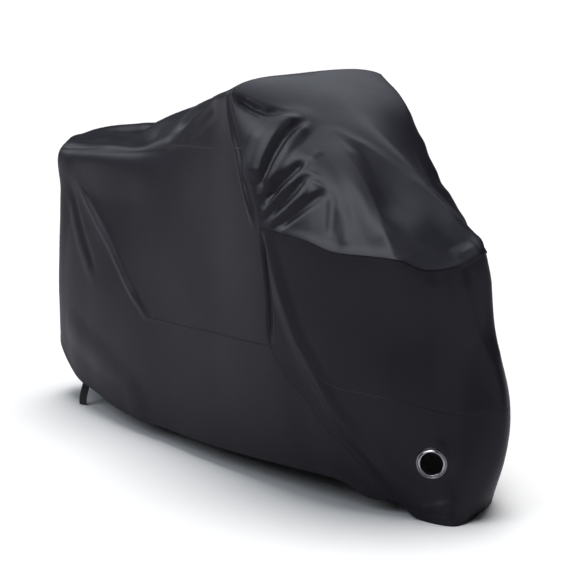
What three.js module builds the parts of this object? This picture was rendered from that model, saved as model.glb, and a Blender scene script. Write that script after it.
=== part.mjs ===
// Motorcycle cover, draped over a parked motorcycle that is left out.
// Millimetres, +Z up, +X towards the front wheel, -Y the right-hand side.
// Every panel is one closed thin solid that keeps the draped shape.
import * as THREE from "three";

// Middle of the outline on the floor, which becomes the origin
const FLOOR_CENTRE = { x: -96, y: -14.5, z: 1 };

// Cloth and seams; at sharp corners the draw-back grows by no more than 1 / SEAM_LEAST_REACH
const CLOTH_THICKNESS = 2;
const SEAM_HALF_GAP = 0.17;
const SEAM_LEAST_REACH = 0.4;

// Eyelets for a lock chain, one in each front skirt
const EYELET_HOLE_RADIUS = 35;
const EYELET_BARREL_RADIUS = 40.5;
const EYELET_RIM_RADIUS = 50;
const EYELET_CLOTH_HOLE = 42.5;
const EYELET_FLAT_RADIUS = 58;
const EYELET_SIDES = 32;
const EYELET_CLEARANCE = 0.3;
const EYELET_RIM_HEIGHT = 2.4;
const EYELET_CROWN = 0.6;
const EYELET_CROWN_HALF = 3;
const EYELET_LIP = 1;
const EYELET_LIP_DROP = 0.8;
const EYELET_EDGE = 1.2;
const EYELET_SPOT = { rib: 13.25, level: 0.53 };

// Webbing strap that hangs from the rear hem
const STRAP_WIDTH = 30;
const STRAP_THICKNESS = 2;
const STRAP_GAP = 1;
const STRAP_STEPS = 10;

// Sections round the cover, from the middle of the rear to the nose.
// Each row gives x, y, z on the hem, the lower seam, the waist, the hood edge, the seat edge
// and the brow, which is the edge lifted by handlebar and mirror.
const RIGHT_SECTIONS = [
  { rib: "rear middle", hem: [-1185, 0, 195], seam: [-1195, 0, 450], waist: [-1200, 0, 620],
    edge: [-1203, 0, 800], shoulder: [-1196, 0, 1003], brow: [-1150, 0, 1004] },
  { rib: "rear quarter", hem: [-1178, -100, 198], seam: [-1185, -100, 450], waist: [-1188, -100, 615],
    edge: [-1185, -100, 800], shoulder: [-1176, -107, 978], brow: [-1126, -82, 1000] },
  { rib: "rear corner", hem: [-1145, -187, 205], seam: [-1130, -196, 445], waist: [-1120, -197, 610],
    edge: [-1108, -195, 800], shoulder: [-1098, -187, 964], brow: [-1062, -140, 990] },
  { rib: "rear flank", hem: [-990, -236, 114], seam: [-1010, -247, 440], waist: [-1005, -238, 600],
    edge: [-985, -217, 800], shoulder: [-967, -203, 972], brow: [-945, -152, 994] },
  { rib: "pillion", hem: [-800, -265, 76], seam: [-795, -288, 440], waist: [-800, -270, 600],
    edge: [-795, -240, 805], shoulder: [-785, -217, 990], brow: [-775, -163, 1010] },
  { rib: "seat", hem: [-560, -300, 52], seam: [-560, -312, 440], waist: [-560, -290, 605],
    edge: [-560, -255, 810], shoulder: [-560, -221, 1010], brow: [-555, -165, 1040] },
  { rib: "seat front", hem: [-300, -323, 57], seam: [-300, -330, 447], waist: [-310, -318, 615],
    edge: [-320, -288, 820], shoulder: [-335, -237, 1050], brow: [-330, -165, 1175] },
  { rib: "tank", hem: [0, -340, 65], seam: [10, -361, 468], waist: [0, -355, 640],
    edge: [-20, -340, 845], shoulder: [-65, -308, 1076], brow: [-75, -262, 1232] },
  { rib: "mirror", hem: [370, -336, 82], seam: [348, -395, 488], waist: [338, -400, 680],
    edge: [306, -402, 868], shoulder: [188, -372, 1107], brow: [119, -360, 1276] },
  { rib: "grip", hem: [500, -322, 86], seam: [470, -381, 500], waist: [482, -386, 670],
    edge: [496, -380, 849], shoulder: [400, -300, 1087], brow: [270, -215, 1205] },
  { rib: "fairing", hem: [594, -310, 83], seam: [585, -357, 405], waist: [600, -357, 640],
    edge: [600, -352, 822], shoulder: [590, -268, 985], brow: [455, -168, 1112] },
  { rib: "fairing front", hem: [680, -273, 43], seam: [700, -316, 392], waist: [708, -313, 620],
    edge: [715, -312, 822], shoulder: [700, -270, 900], brow: [630, -135, 985] },
  { rib: "wheel rear", hem: [780, -238, 38], seam: [785, -280, 383], waist: [795, -256, 610],
    edge: [805, -268, 815], shoulder: [793, -230, 862], brow: [745, -110, 925] },
  { rib: "wheel side", hem: [845, -225, 4], seam: [868, -215, 360], waist: [862, -198, 600],
    edge: [848, -220, 788], shoulder: [840, -186, 832], brow: [812, -90, 880] },
  { rib: "wheel corner", hem: [962, -182, 3], seam: [930, -135, 338], waist: [905, -118, 600],
    edge: [892, -130, 793], shoulder: [880, -98, 822], brow: [866, -50, 850] },
  { rib: "nose", hem: [938, -40, 4], seam: [1011, -10, 352], waist: [934, -5, 575],
    edge: [908, -20, 828], shoulder: [903, -20, 838], brow: [897, -20, 847] },
];
const LEFT_SECTIONS = [
  { rib: "rear quarter", hem: [-1178, 100, 190], seam: [-1185, 100, 445], waist: [-1188, 100, 615],
    edge: [-1185, 100, 805], shoulder: [-1165, 105, 1018], brow: [-1110, 78, 1006] },
  { rib: "rear corner", hem: [-1135, 188, 185], seam: [-1125, 195, 440], waist: [-1118, 197, 610],
    edge: [-1105, 195, 810], shoulder: [-1082, 188, 1024], brow: [-1040, 130, 1004] },
  { rib: "rear flank", hem: [-1010, 232, 140], seam: [-1005, 247, 440], waist: [-1000, 240, 600],
    edge: [-980, 222, 810], shoulder: [-960, 203, 1038], brow: [-925, 140, 1024] },
  { rib: "pillion", hem: [-800, 265, 46], seam: [-795, 288, 440], waist: [-800, 272, 600],
    edge: [-795, 245, 820], shoulder: [-785, 218, 1078], brow: [-770, 145, 1100] },
  { rib: "seat", hem: [-560, 300, 26], seam: [-560, 312, 440], waist: [-560, 292, 605],
    edge: [-560, 262, 830], shoulder: [-560, 232, 1090], brow: [-555, 155, 1132] },
  { rib: "seat front", hem: [-300, 323, 20], seam: [-300, 330, 447], waist: [-310, 320, 615],
    edge: [-320, 292, 840], shoulder: [-335, 255, 1115], brow: [-330, 172, 1190] },
  { rib: "tank", hem: [0, 335, 16], seam: [10, 355, 460], waist: [0, 352, 640],
    edge: [-20, 342, 850], shoulder: [-65, 318, 1130], brow: [-75, 275, 1250] },
  { rib: "mirror", hem: [370, 322, 13], seam: [348, 372, 470], waist: [338, 378, 660],
    edge: [300, 376, 850], shoulder: [170, 372, 1105], brow: [64, 366, 1290] },
  { rib: "grip", hem: [500, 305, 12], seam: [480, 350, 470], waist: [488, 350, 660],
    edge: [480, 330, 850], shoulder: [352, 304, 1050], brow: [236, 314, 1198] },
  { rib: "fairing", hem: [600, 275, 11], seam: [590, 315, 430], waist: [600, 285, 630],
    edge: [600, 245, 825], shoulder: [495, 213, 925], brow: [426, 140, 1073] },
  { rib: "fairing front", hem: [690, 230, 10], seam: [690, 265, 392], waist: [705, 230, 620],
    edge: [705, 165, 822], shoulder: [640, 140, 880], brow: [600, 85, 965] },
  { rib: "wheel rear", hem: [770, 175, 8], seam: [780, 215, 375], waist: [790, 150, 610],
    edge: [788, 104, 818], shoulder: [761, 91, 854], brow: [732, 53, 911] },
  { rib: "wheel side", hem: [830, 130, 5], seam: [855, 130, 352], waist: [858, 80, 600],
    edge: [840, 57, 803], shoulder: [826, 45, 829], brow: [803, 24, 868] },
  { rib: "wheel corner", hem: [885, 70, 4], seam: [934, 86, 342], waist: [905, 34, 605],
    edge: [882, 18, 812], shoulder: [872, 12, 832], brow: [862, 6, 852] },
];
// Top line of the cover above each section, with how hard the cloth turns at the brow,
// the seat edge and the hood edge (0 round, 1 sharp).
const TOP_LINE = [
  { rib: "rear middle", top: [-1095, 0, 1006], browTurn: 0, shoulderTurn: 0.5, edgeTurn: 0 },
  { rib: "rear quarter", top: [-1050, 0, 1000], browTurn: 0, shoulderTurn: 0.1, edgeTurn: 0 },
  { rib: "rear corner", top: [-990, 0, 998], browTurn: 0, shoulderTurn: 0, edgeTurn: 0 },
  { rib: "rear flank", top: [-890, 0, 1016], browTurn: 0, shoulderTurn: 0, edgeTurn: 0 },
  { rib: "pillion", top: [-745, 0, 1080], browTurn: 0, shoulderTurn: 0, edgeTurn: 0 },
  { rib: "seat", top: [-560, 0, 1146], browTurn: 0, shoulderTurn: 0.3, edgeTurn: 0 },
  { rib: "seat front", top: [-360, 0, 1200], browTurn: 0.7, shoulderTurn: 0.6, edgeTurn: 0 },
  { rib: "tank", top: [-140, 0, 1265], browTurn: 0.7, shoulderTurn: 0.3, edgeTurn: 0 },
  { rib: "mirror", top: [50, 0, 1309], browTurn: 0.5, shoulderTurn: 0, edgeTurn: 0 },
  { rib: "grip", top: [180, 0, 1273], browTurn: 0.3, shoulderTurn: 0, edgeTurn: 0.5 },
  { rib: "fairing", top: [388, 0, 1166], browTurn: 0, shoulderTurn: 0, edgeTurn: 0.6 },
  { rib: "fairing front", top: [570, -10, 1064], browTurn: 0, shoulderTurn: 0, edgeTurn: 0.6 },
  { rib: "wheel rear", top: [704, -18, 976], browTurn: 0, shoulderTurn: 0, edgeTurn: 0.6 },
  { rib: "wheel side", top: [780, -22, 928], browTurn: 0, shoulderTurn: 0, edgeTurn: 0.6 },
  { rib: "wheel corner", top: [850, -22, 883], browTurn: 0, shoulderTurn: 0, edgeTurn: 0.6 },
  { rib: "nose", top: [891, -20, 860], browTurn: 0, shoulderTurn: 0, edgeTurn: 0.6 },
];
// The seam below the mirror turns the cloth lengthways, more so higher up
const MIRROR_TURN = [0, 0.1, 0.2, 0.4, 0.7, 0.9];

// Levels up a section
const HEM = 0;
const LOWER_SEAM = 1;
const HOOD_EDGE = 3;
const SEAT_EDGE = 4;
const BROW = 5;
const TOP = 6;
const LEVEL_NAMES = ["hem", "seam", "waist", "edge", "shoulder", "brow"];

// Ribs that carry seams
const REAR_MIDDLE = 0;
const MIRROR = 8;
const NOSE = 15;

// Seam that climbs from the lower seam to the rear corner of the seat
const REAR_SEAM = [
  { level: 1, rib: 5.6 },
  { level: 1.6, rib: 5.08 },
  { level: 2.3, rib: 4.48 },
  { level: 3, rib: 3.62 },
  { level: 3.6, rib: 2.6 },
  { level: 4, rib: 2.1 },
];
// Seam that drops from the mirror seam to the hem behind the front wheel
const BELLY_SEAM = [
  { level: 0, rib: 11.8 },
  { level: 0.2, rib: 11.2 },
  { level: 0.4, rib: 10.4 },
  { level: 0.55, rib: 9.4 },
  { level: 0.75, rib: 8.5 },
  { level: 1, rib: 8 },
];

// Folds: height in mm out of the cloth (negative is a valley), half width in mm,
// sharp 0 to 1, and the route as rib and level along the section.
const FOLDS = [
  { side: "right", name: "rear pull", height: 3, width: 58, sharp: 0.2,
    route: [[2.3, 3.75], [2.95, 3.4], [3.58, 3.02], [4.1, 2.62], [4.6, 2.15]] },
  { side: "right", name: "rear pull crest", height: 8, width: 26, sharp: 0.4,
    route: [[3.3, 3.15], [3.95, 2.72], [4.5, 2.26], [5.05, 1.62], [5.62, 1.02]] },
  { side: "right", name: "rear faint pull", height: 4, width: 40, sharp: 0.2,
    route: [[2.7, 3], [3.48, 2.23], [4.05, 1.47]] },
  { side: "right", name: "rear faint hollow", height: -3, width: 26, sharp: 0.2,
    route: [[2.9, 3.05], [3.55, 2.4], [4.1, 1.7]] },
  { side: "right", name: "skirt flare", height: 9, width: 90, sharp: 0,
    route: [[2.9, 0.62], [4.12, 0.45], [5.12, 0.27], [5.5, 0]] },
  { side: "right", name: "seat edge roll", height: 11, width: 44, sharp: 0,
    route: [[0.5, 4.5], [2, 4.5], [4, 4.45], [6, 4.2]] },
  { side: "right", name: "mirror binding", height: 10, width: 20, sharp: 0.1,
    route: [[7.9, 3.04], [7.87, 3.6], [7.85, 4.2], [7.82, 5]] },
  { side: "right", name: "mirror seam valley", height: -12, width: 18, sharp: 0.2,
    route: [[8.02, 2.85], [8.05, 2.3], [8.05, 1.7], [8.02, 1.1]] },
  { side: "right", name: "seat hollow", height: -24, width: 90, sharp: 0,
    route: [[1.4, 5.6], [3.2, 5.6], [4.2, 5.4], [5, 5.1]] },
  { side: "right", name: "mirror pull", height: 17, width: 44, sharp: 0.5,
    route: [[5.9, 4], [6.45, 4.58], [7, 4.95], [7.7, 4.95]] },
  { side: "right", name: "mirror pull hollow", height: -12, width: 46, sharp: 0,
    route: [[5.8, 4.4], [6.2, 4.85], [6.7, 5.1]] },
  { side: "right", name: "mirror small pull", height: 8, width: 34, sharp: 0.4,
    route: [[6.3, 4.1], [6.85, 4.55], [7.4, 4.8]] },
  { side: "right", name: "hood top valley", height: -16, width: 26, sharp: 0.5,
    route: [[8.08, 4.95], [8.29, 4.85], [8.51, 4.79], [8.92, 4.96]] },
  { side: "right", name: "hood facet", height: 20, width: 76, sharp: 0.1,
    route: [[9.07, 5.01], [8.72, 4.55], [8.41, 4.14], [8.19, 3.79], [8.09, 3.56]] },
  { side: "right", name: "hood upper valley", height: -18, width: 24, sharp: 0.3,
    route: [[9.14, 4.9], [8.9, 4.56], [8.66, 4.2], [8.42, 3.83], [8.2, 3.5]] },
  { side: "right", name: "hood upper ridge", height: 11, width: 30, sharp: 0.3,
    route: [[9.22, 4.86], [8.98, 4.45], [8.74, 4.06], [8.44, 3.69], [8.18, 3.4]] },
  { side: "right", name: "hood middle valley", height: -20, width: 30, sharp: 0.4,
    route: [[9.04, 3.97], [8.79, 3.77], [8.5, 3.57], [8.22, 3.33]] },
  { side: "right", name: "hood middle ridge", height: 10, width: 22, sharp: 0.6,
    route: [[9.08, 3.96], [8.87, 3.74], [8.62, 3.53], [8.16, 3.19]] },
  { side: "right", name: "hood lower valley", height: -12, width: 20, sharp: 0.4,
    route: [[9.06, 3.78], [8.81, 3.55], [8.56, 3.37], [8.2, 3.14]] },
  { side: "right", name: "hood lower ridge", height: 9, width: 20, sharp: 0.6,
    route: [[9.08, 3.69], [8.89, 3.48], [8.66, 3.29], [8.28, 3.05]] },
  { side: "right", name: "hood hem valley", height: -14, width: 28, sharp: 0.3,
    route: [[9.47, 3.75], [9.14, 3.49], [8.81, 3.29], [8.38, 3.05]] },
  { side: "right", name: "grip valley", height: -5, width: 24, sharp: 0.2,
    route: [[9.57, 3.78], [9.64, 3.53], [9.76, 3.19]] },
  { side: "right", name: "grip ridge", height: 5, width: 34, sharp: 0.3,
    route: [[9.82, 3.73], [10.03, 3.49], [10.31, 3.09]] },
  { side: "right", name: "fairing ridge", height: 17, width: 70, sharp: 0.7,
    route: [[9.76, 5.06], [10.28, 4.59], [10.89, 4.25], [11.76, 3.09]] },
  { side: "right", name: "windscreen line", height: 7, width: 44, sharp: 0.5,
    route: [[9.76, 5.19], [10.33, 5.38], [11.56, 5.62], [12.73, 5.76], [14.3, 5.3]] },
  { side: "right", name: "nose ear", height: 9, width: 42, sharp: 0.3,
    route: [[14.6, 4.9], [14.2, 4.2], [13.88, 3.6]] },
  { side: "right", name: "nose fold", height: 10, width: 44, sharp: 0.4,
    route: [[14.1, 2.9], [14.45, 2.15], [14.75, 1.6]] },
  { side: "right", name: "nose facet", height: 9, width: 60, sharp: 0.2,
    route: [[13.3, 2.95], [13.85, 2.35], [14.35, 1.8]] },
  { side: "right", name: "wheel drape", height: 12, width: 46, sharp: 0.5,
    route: [[8.12, 2.8], [8.38, 2.05], [8.95, 1.15], [9.47, 0.97], [10.03, 0.79], [10.65, 0.57],
      [11.43, 0.32], [12.2, 0.05]] },
  { side: "right", name: "belly hollow", height: -5, width: 50, sharp: 0.2,
    route: [[8.3, 0.95], [9.4, 0.75], [10.3, 0.5], [11.2, 0.28], [12.05, 0]] },
  { side: "right", name: "front hem crease", height: 6, width: 26, sharp: 0.5,
    route: [[13, 0.1], [13.5, 0.16], [14.2, 0.2]] },
  { side: "left", name: "rear pull", height: 11, width: 62, sharp: 0.3,
    route: [[2.4, 3.7], [3.5, 3.1], [4.5, 2.25], [5.5, 1.15]] },
  { side: "left", name: "seat edge roll", height: 9, width: 46, sharp: 0.1,
    route: [[0.3, 4.08], [2, 4.1], [4, 4.1], [5.8, 4.06]] },
  { side: "left", name: "mirror pull", height: 14, width: 48, sharp: 0.5,
    route: [[5.6, 4.05], [6.3, 4.5], [7, 4.9], [7.7, 4.95]] },
  { side: "left", name: "hood upper valley", height: -10, width: 50, sharp: 0.2,
    route: [[8.95, 4.5], [8.55, 4.05], [8.15, 3.4]] },
  { side: "left", name: "hood upper ridge", height: 6, width: 46, sharp: 0.3,
    route: [[9.3, 4.5], [8.8, 3.95], [8.2, 3.25]] },
  { side: "left", name: "hood lower valley", height: -7, width: 50, sharp: 0.2,
    route: [[9.6, 4], [8.95, 3.45], [8.3, 3.08]] },
  { side: "left", name: "fairing ridge", height: 5, width: 62, sharp: 0.4,
    route: [[9.9, 4.9], [10.6, 4.2], [11.4, 3.5], [12, 3.08]] },
  { side: "left", name: "wheel drape", height: 13, width: 60, sharp: 0.4,
    route: [[8.15, 2.8], [8.7, 1.6], [9.6, 0.95], [10.8, 0.5], [12.1, 0.05]] },
  { side: "left", name: "nose fold", height: 6, width: 50, sharp: 0.3,
    route: [[14.2, 2.85], [14.5, 2.1], [14.7, 1.5]] },
];

// How the panels are divided: stations between the seams
const REAR_COLUMNS = 7;
const SIDE_COLUMNS = 11;
const FRONT_RIBS = [8, 8.16, 8.32, 8.48, 8.64, 8.8, 8.96, 9.14, 9.34, 9.56, 9.8, 10.06, 10.34, 10.64,
  10.96, 11.3, 11.65, 12, 12.35, 12.7, 13.02, 13.34, 13.64, 13.92, 14.2, 14.47, 14.74, 15];
const SKIRT_LEVELS = [0, 0.13, 0.28, 0.44, 0.6, 0.76, 0.88, 1];
const WALL_LEVELS = [1, 1.28, 1.56, 1.84, 2.12, 2.42, 2.72, 3];
const HOOD_LEVELS = [3, 3.14, 3.28, 3.44, 3.62, 3.8, 4];
const TOP_LEVELS = [4, 4.16, 4.36, 4.58, 4.8, 5, 5.3, 5.64, 6];
const EYELET_BLOCK = { rows: [2, 5], columns: [16, 23] };

// Vector helpers on [x, y, z]
const plus = (a, b) => [a[0] + b[0], a[1] + b[1], a[2] + b[2]];
const minus = (a, b) => [a[0] - b[0], a[1] - b[1], a[2] - b[2]];
const times = (a, k) => [a[0] * k, a[1] * k, a[2] * k];
const dot = (a, b) => a[0] * b[0] + a[1] * b[1] + a[2] * b[2];
const cross = (a, b) => [
  a[1] * b[2] - a[2] * b[1],
  a[2] * b[0] - a[0] * b[2],
  a[0] * b[1] - a[1] * b[0],
];
const size = (a) => Math.sqrt(dot(a, a));
const unit = (a) => times(a, 1 / (size(a) || 1));
const blend = (a, b, k) => plus(times(a, 1 - k), times(b, k));

// Value of a two-column table between its rows
function lookUp(rows, from, to, value) {
  let last = rows[0];
  for (const row of rows) {
    if (row[from] >= value) {
      const span = row[from] - last[from];
      return span > 0 ? last[to] + ((row[to] - last[to]) * (value - last[from])) / span : row[to];
    }
    last = row;
  }
  return last[to];
}

// Smooth curve piece between two points with given slopes
function curve(s, length, p0, p1, m0, m1) {
  const s2 = s * s;
  const s3 = s2 * s;
  const from = plus(times(p0, 2 * s3 - 3 * s2 + 1), times(m0, length * (s3 - 2 * s2 + s)));
  const to = plus(times(p1, 3 * s2 - 2 * s3), times(m1, length * (s3 - s2)));
  return plus(from, to);
}

// Slope at b on the curve a, b, c
function slope(a, b, c, before, after) {
  const back = times(minus(b, a), 1 / before);
  const ahead = times(minus(c, b), 1 / after);
  return times(plus(times(back, after), times(ahead, before)), 1 / (before + after));
}

// The sections stand in a closed loop: right side forwards, left side backwards
const toLevels = (row) => LEVEL_NAMES.map((name) => row[name]);
const LOOP = [
  ...RIGHT_SECTIONS.map(toLevels),
  ...LEFT_SECTIONS.map(toLevels).reverse(),
];
const LOOP_COUNT = LOOP.length;
const LOOP_SPACING = LOOP.map((levels, i) => {
  const next = LOOP[(i + 1) % LOOP_COUNT];
  const total = levels.reduce((sum, point, j) => sum + size(minus(next[j], point)), 0);
  return total / levels.length;
});

function loopSlope(station, level, arriving) {
  const i = (station + LOOP_COUNT) % LOOP_COUNT;
  const prior = (i - 1 + LOOP_COUNT) % LOOP_COUNT;
  const [a, b, c] = [LOOP[prior][level], LOOP[i][level], LOOP[(i + 1) % LOOP_COUNT][level]];
  const before = LOOP_SPACING[prior];
  const after = LOOP_SPACING[i];
  const smooth = slope(a, b, c, before, after);
  if (i !== MIRROR && i !== LOOP_COUNT - MIRROR) return smooth;
  const straight = arriving ? times(minus(b, a), 1 / before) : times(minus(c, b), 1 / after);
  return blend(smooth, straight, MIRROR_TURN[level]);
}

// The six level points of the section at a rib position on one side (-1 right, 1 left)
function sectionPoints(side, rib) {
  const along = ((side < 0 ? rib : LOOP_COUNT - rib) + LOOP_COUNT) % LOOP_COUNT;
  const i = Math.floor(along) % LOOP_COUNT;
  const s = along - Math.floor(along);
  const next = (i + 1) % LOOP_COUNT;
  return LEVEL_NAMES.map((_, level) =>
    curve(s, LOOP_SPACING[i], LOOP[i][level], LOOP[next][level],
      loopSlope(i, level, false), loopSlope(i + 1, level, true)));
}

const TOP_POINTS = TOP_LINE.map((row) => row.top);
const TOP_SPACING = TOP_POINTS.slice(1).map((point, i) => size(minus(point, TOP_POINTS[i])));

function topSlope(i) {
  const last = TOP_POINTS.length - 1;
  const from = Math.max(i - 1, 0);
  const to = Math.min(i + 1, last);
  if (i === 0 || i === last) {
    return times(minus(TOP_POINTS[to], TOP_POINTS[from]), 1 / TOP_SPACING[from]);
  }
  return slope(TOP_POINTS[from], TOP_POINTS[i], TOP_POINTS[to], TOP_SPACING[i - 1], TOP_SPACING[i]);
}

function topPoint(rib) {
  const i = Math.min(Math.floor(rib), TOP_POINTS.length - 2);
  return curve(rib - i, TOP_SPACING[i], TOP_POINTS[i], TOP_POINTS[i + 1], topSlope(i), topSlope(i + 1));
}

function turnAt(name, rib) {
  const i = Math.min(Math.floor(rib), TOP_LINE.length - 2);
  const from = TOP_LINE[i][name];
  return from + (TOP_LINE[i + 1][name] - from) * (rib - i);
}

// Point on the plain cover, without folds
function drape(side, rib, level) {
  const points = [...sectionPoints(side, rib), topPoint(rib)];
  const opposite = sectionPoints(-side, rib)[BROW];
  const turns = {
    [HOOD_EDGE]: turnAt("edgeTurn", rib),
    [SEAT_EDGE]: turnAt("shoulderTurn", rib),
    [BROW]: turnAt("browTurn", rib),
  };
  const gaps = points.map((point, j) => size(minus(j < TOP ? points[j + 1] : opposite, point)) + 0.001);
  const slopeAt = (j, arriving) => {
    const ahead = times(minus(j < TOP ? points[j + 1] : opposite, points[j]), 1 / gaps[j]);
    if (j === HEM) {
      const second = times(minus(points[2], points[1]), 1 / gaps[1]);
      const mean = times(plus(times(ahead, gaps[1]), times(second, gaps[0])), 1 / (gaps[0] + gaps[1]));
      return minus(times(ahead, 2), mean);
    }
    const back = times(minus(points[j], points[j - 1]), 1 / gaps[j - 1]);
    const span = gaps[j] + gaps[j - 1];
    const smooth = times(plus(times(back, gaps[j]), times(ahead, gaps[j - 1])), 1 / span);
    return blend(smooth, arriving ? back : ahead, turns[j] ?? 0);
  };
  const j = Math.min(Math.floor(level), TOP - 1);
  return curve(level - j, gaps[j], points[j], points[j + 1], slopeAt(j, false), slopeAt(j + 1, true));
}

// Positions past the middle lines continue on the other side
function settle(side, rib, level) {
  let place = { side, rib, level: Math.max(level, HEM) };
  if (place.rib < REAR_MIDDLE) place = { ...place, side: -place.side, rib: -place.rib };
  if (place.rib > NOSE) place = { ...place, side: -place.side, rib: 2 * NOSE - place.rib };
  if (place.level > TOP) place = { ...place, side: -place.side, level: 2 * TOP - place.level };
  return place;
}

// Outward direction of a surface given as a function of side, rib and level
const PROBE = 0.03;
function outward(surface, side, rib, level) {
  const at = (r, l) => {
    const place = settle(side, r, l);
    return surface(place.side, place.rib, place.level);
  };
  const along = minus(at(rib + PROBE, level), at(rib - PROBE, level));
  const up = minus(at(rib, level + PROBE), at(rib, level - PROBE));
  return unit(times(cross(along, up), -side));
}

// Folds laid on the plain cover
const FOLD_LINES = FOLDS.map((fold) => {
  const side = fold.side === "left" ? 1 : -1;
  return { ...fold, points: fold.route.map(([rib, level]) => drape(side, rib, level)) };
});
// A fold fades out over this share of its length, down to the given share of its height
const FADE_SHARE = 0.22;
const FADE_FLOOR = 0.25;

function foldHeight(point) {
  let total = 0;
  for (const fold of FOLD_LINES) {
    const pieces = fold.points.length - 1;
    let nearest = Infinity;
    let along = 0;
    for (let i = 0; i < pieces; i += 1) {
      const a = fold.points[i];
      const line = minus(fold.points[i + 1], a);
      const s = Math.min(Math.max(dot(minus(point, a), line) / dot(line, line), 0), 1);
      const away = size(minus(point, plus(a, times(line, s))));
      if (away < nearest) {
        nearest = away;
        along = (i + s) / pieces;
      }
    }
    const x = nearest / fold.width;
    if (x >= 1) continue;
    const round = (1 - x * x) ** 2;
    const pointed = (1 - x) ** 2;
    const fade = Math.min(1, Math.min(along, 1 - along) / FADE_SHARE + FADE_FLOOR);
    total += fold.height * fade * (round * (1 - fold.sharp) + pointed * fold.sharp);
  }
  return total;
}

// Point on the finished cover, folds included
function cover(side, rib, level) {
  const point = drape(side, rib, level);
  const height = foldHeight(point);
  return height === 0 ? point : plus(point, times(outward(drape, side, rib, level), height));
}

// Weights that rank corners by side first, then rib, then level
const ORDER_BY = { side: 100, rib: 3 };

// A cloth is gathered as named points and faces, then closed into a thin solid
class Cloth {
  constructor() {
    this.keys = new Map();
    this.points = [];
    this.normals = [];
    this.places = [];
    this.faces = [];
  }

  add(key, point, normal, place) {
    if (!this.keys.has(key)) {
      this.keys.set(key, this.points.length);
      this.points.push(point);
      this.normals.push(normal);
      this.places.push(place);
    }
    return this.keys.get(key);
  }

  // Corner of a panel, shared by every face that meets there
  corner(side, rib, level) {
    const middle = level === TOP || rib === REAR_MIDDLE || rib === NOSE;
    const key = `${middle ? 0 : side}:${rib.toFixed(5)}:${level.toFixed(5)}`;
    if (this.keys.has(key)) return this.keys.get(key);
    return this.add(key, cover(side, rib, level), outward(cover, side, rib, level), { side, rib, level });
  }

  // Two triangles, split along the diagonal that lies nearer to the true cloth
  quad(a, b, c, d, side) {
    const [p, q, r, s] = [a, b, c, d].map((i) => this.points[i]);
    const rib = (this.places[a].rib + this.places[c].rib) / 2;
    const level = (this.places[a].level + this.places[c].level) / 2;
    const centre = cover(side, rib, level);
    const first = size(minus(blend(p, r, 0.5), centre));
    const second = size(minus(blend(q, s, 0.5), centre));
    const pair = first <= second ? [[a, b, c], [a, c, d]] : [[a, b, d], [b, c, d]];
    for (const face of pair) this.face(face, side);
  }

  // Right-hand faces turn one way and left-hand faces the other, so all look outwards
  face(face, side) {
    if (new Set(face).size < 3) return;
    this.faces.push(side < 0 ? face : [face[0], face[2], face[1]]);
  }

  // Cells between stations; skip(row, column) leaves cells out
  block(side, levels, ribsAt, skip = () => false) {
    const rows = levels.map((level) => ribsAt(level).map((rib) => this.corner(side, rib, level)));
    for (let r = 0; r < rows.length - 1; r += 1) {
      for (let c = 0; c < rows[r].length - 1; c += 1) {
        if (skip(r, c)) continue;
        this.quad(rows[r][c], rows[r][c + 1], rows[r + 1][c + 1], rows[r + 1][c], side);
      }
    }
    return rows;
  }

  // Draw the free edge back by half the seam gap
  drawBack() {
    const edges = new Map();
    for (const [a, b, c] of this.faces) {
      for (const [from, to] of [[a, b], [b, c], [c, a]]) {
        if (edges.has(`${to}:${from}`)) edges.delete(`${to}:${from}`);
        else edges.set(`${from}:${to}`, [from, to]);
      }
    }
    const pulls = new Map();
    for (const [from, to] of edges.values()) {
      const line = unit(minus(this.points[to], this.points[from]));
      for (const end of [from, to]) {
        const pull = unit(cross(this.normals[end], line));
        pulls.set(end, [...(pulls.get(end) ?? []), pull]);
      }
    }
    const moved = new Map();
    for (const [end, list] of pulls) {
      const mean = unit(list.reduce(plus));
      const reach = Math.max(dot(mean, list[0]), SEAM_LEAST_REACH);
      moved.set(end, plus(this.points[end], times(mean, SEAM_HALF_GAP / reach)));
    }
    for (const [end, point] of moved) this.points[end] = point;
    return [...edges.values()];
  }

  // Neighbours across a seam split its strip the same way round
  order(corner) {
    const { side, rib, level } = this.places[corner];
    return side * ORDER_BY.side + rib * ORDER_BY.rib + level;
  }

  // Outer face, inner face and the strip that joins them round the free edge
  solid() {
    const edges = this.drawBack();
    const count = this.points.length;
    const inner = this.points.map((p, i) => minus(p, times(this.normals[i], CLOTH_THICKNESS)));
    const faces = [];
    for (const [a, b, c] of this.faces) {
      faces.push([a, b, c], [a + count, c + count, b + count]);
    }
    for (const [from, to] of edges) {
      if (this.order(from) < this.order(to)) {
        faces.push([to, from, from + count], [to, from + count, to + count]);
      } else {
        faces.push([to, from, to + count], [from, from + count, to + count]);
      }
    }
    return toGeometry([...this.points, ...inner], faces);
  }
}

function toGeometry(points, faces) {
  const geometry = new THREE.BufferGeometry();
  geometry.setAttribute("position", new THREE.Float32BufferAttribute(points.flat(), 3));
  geometry.setIndex(faces.flat());
  geometry.computeVertexNormals();
  return geometry;
}

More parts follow.
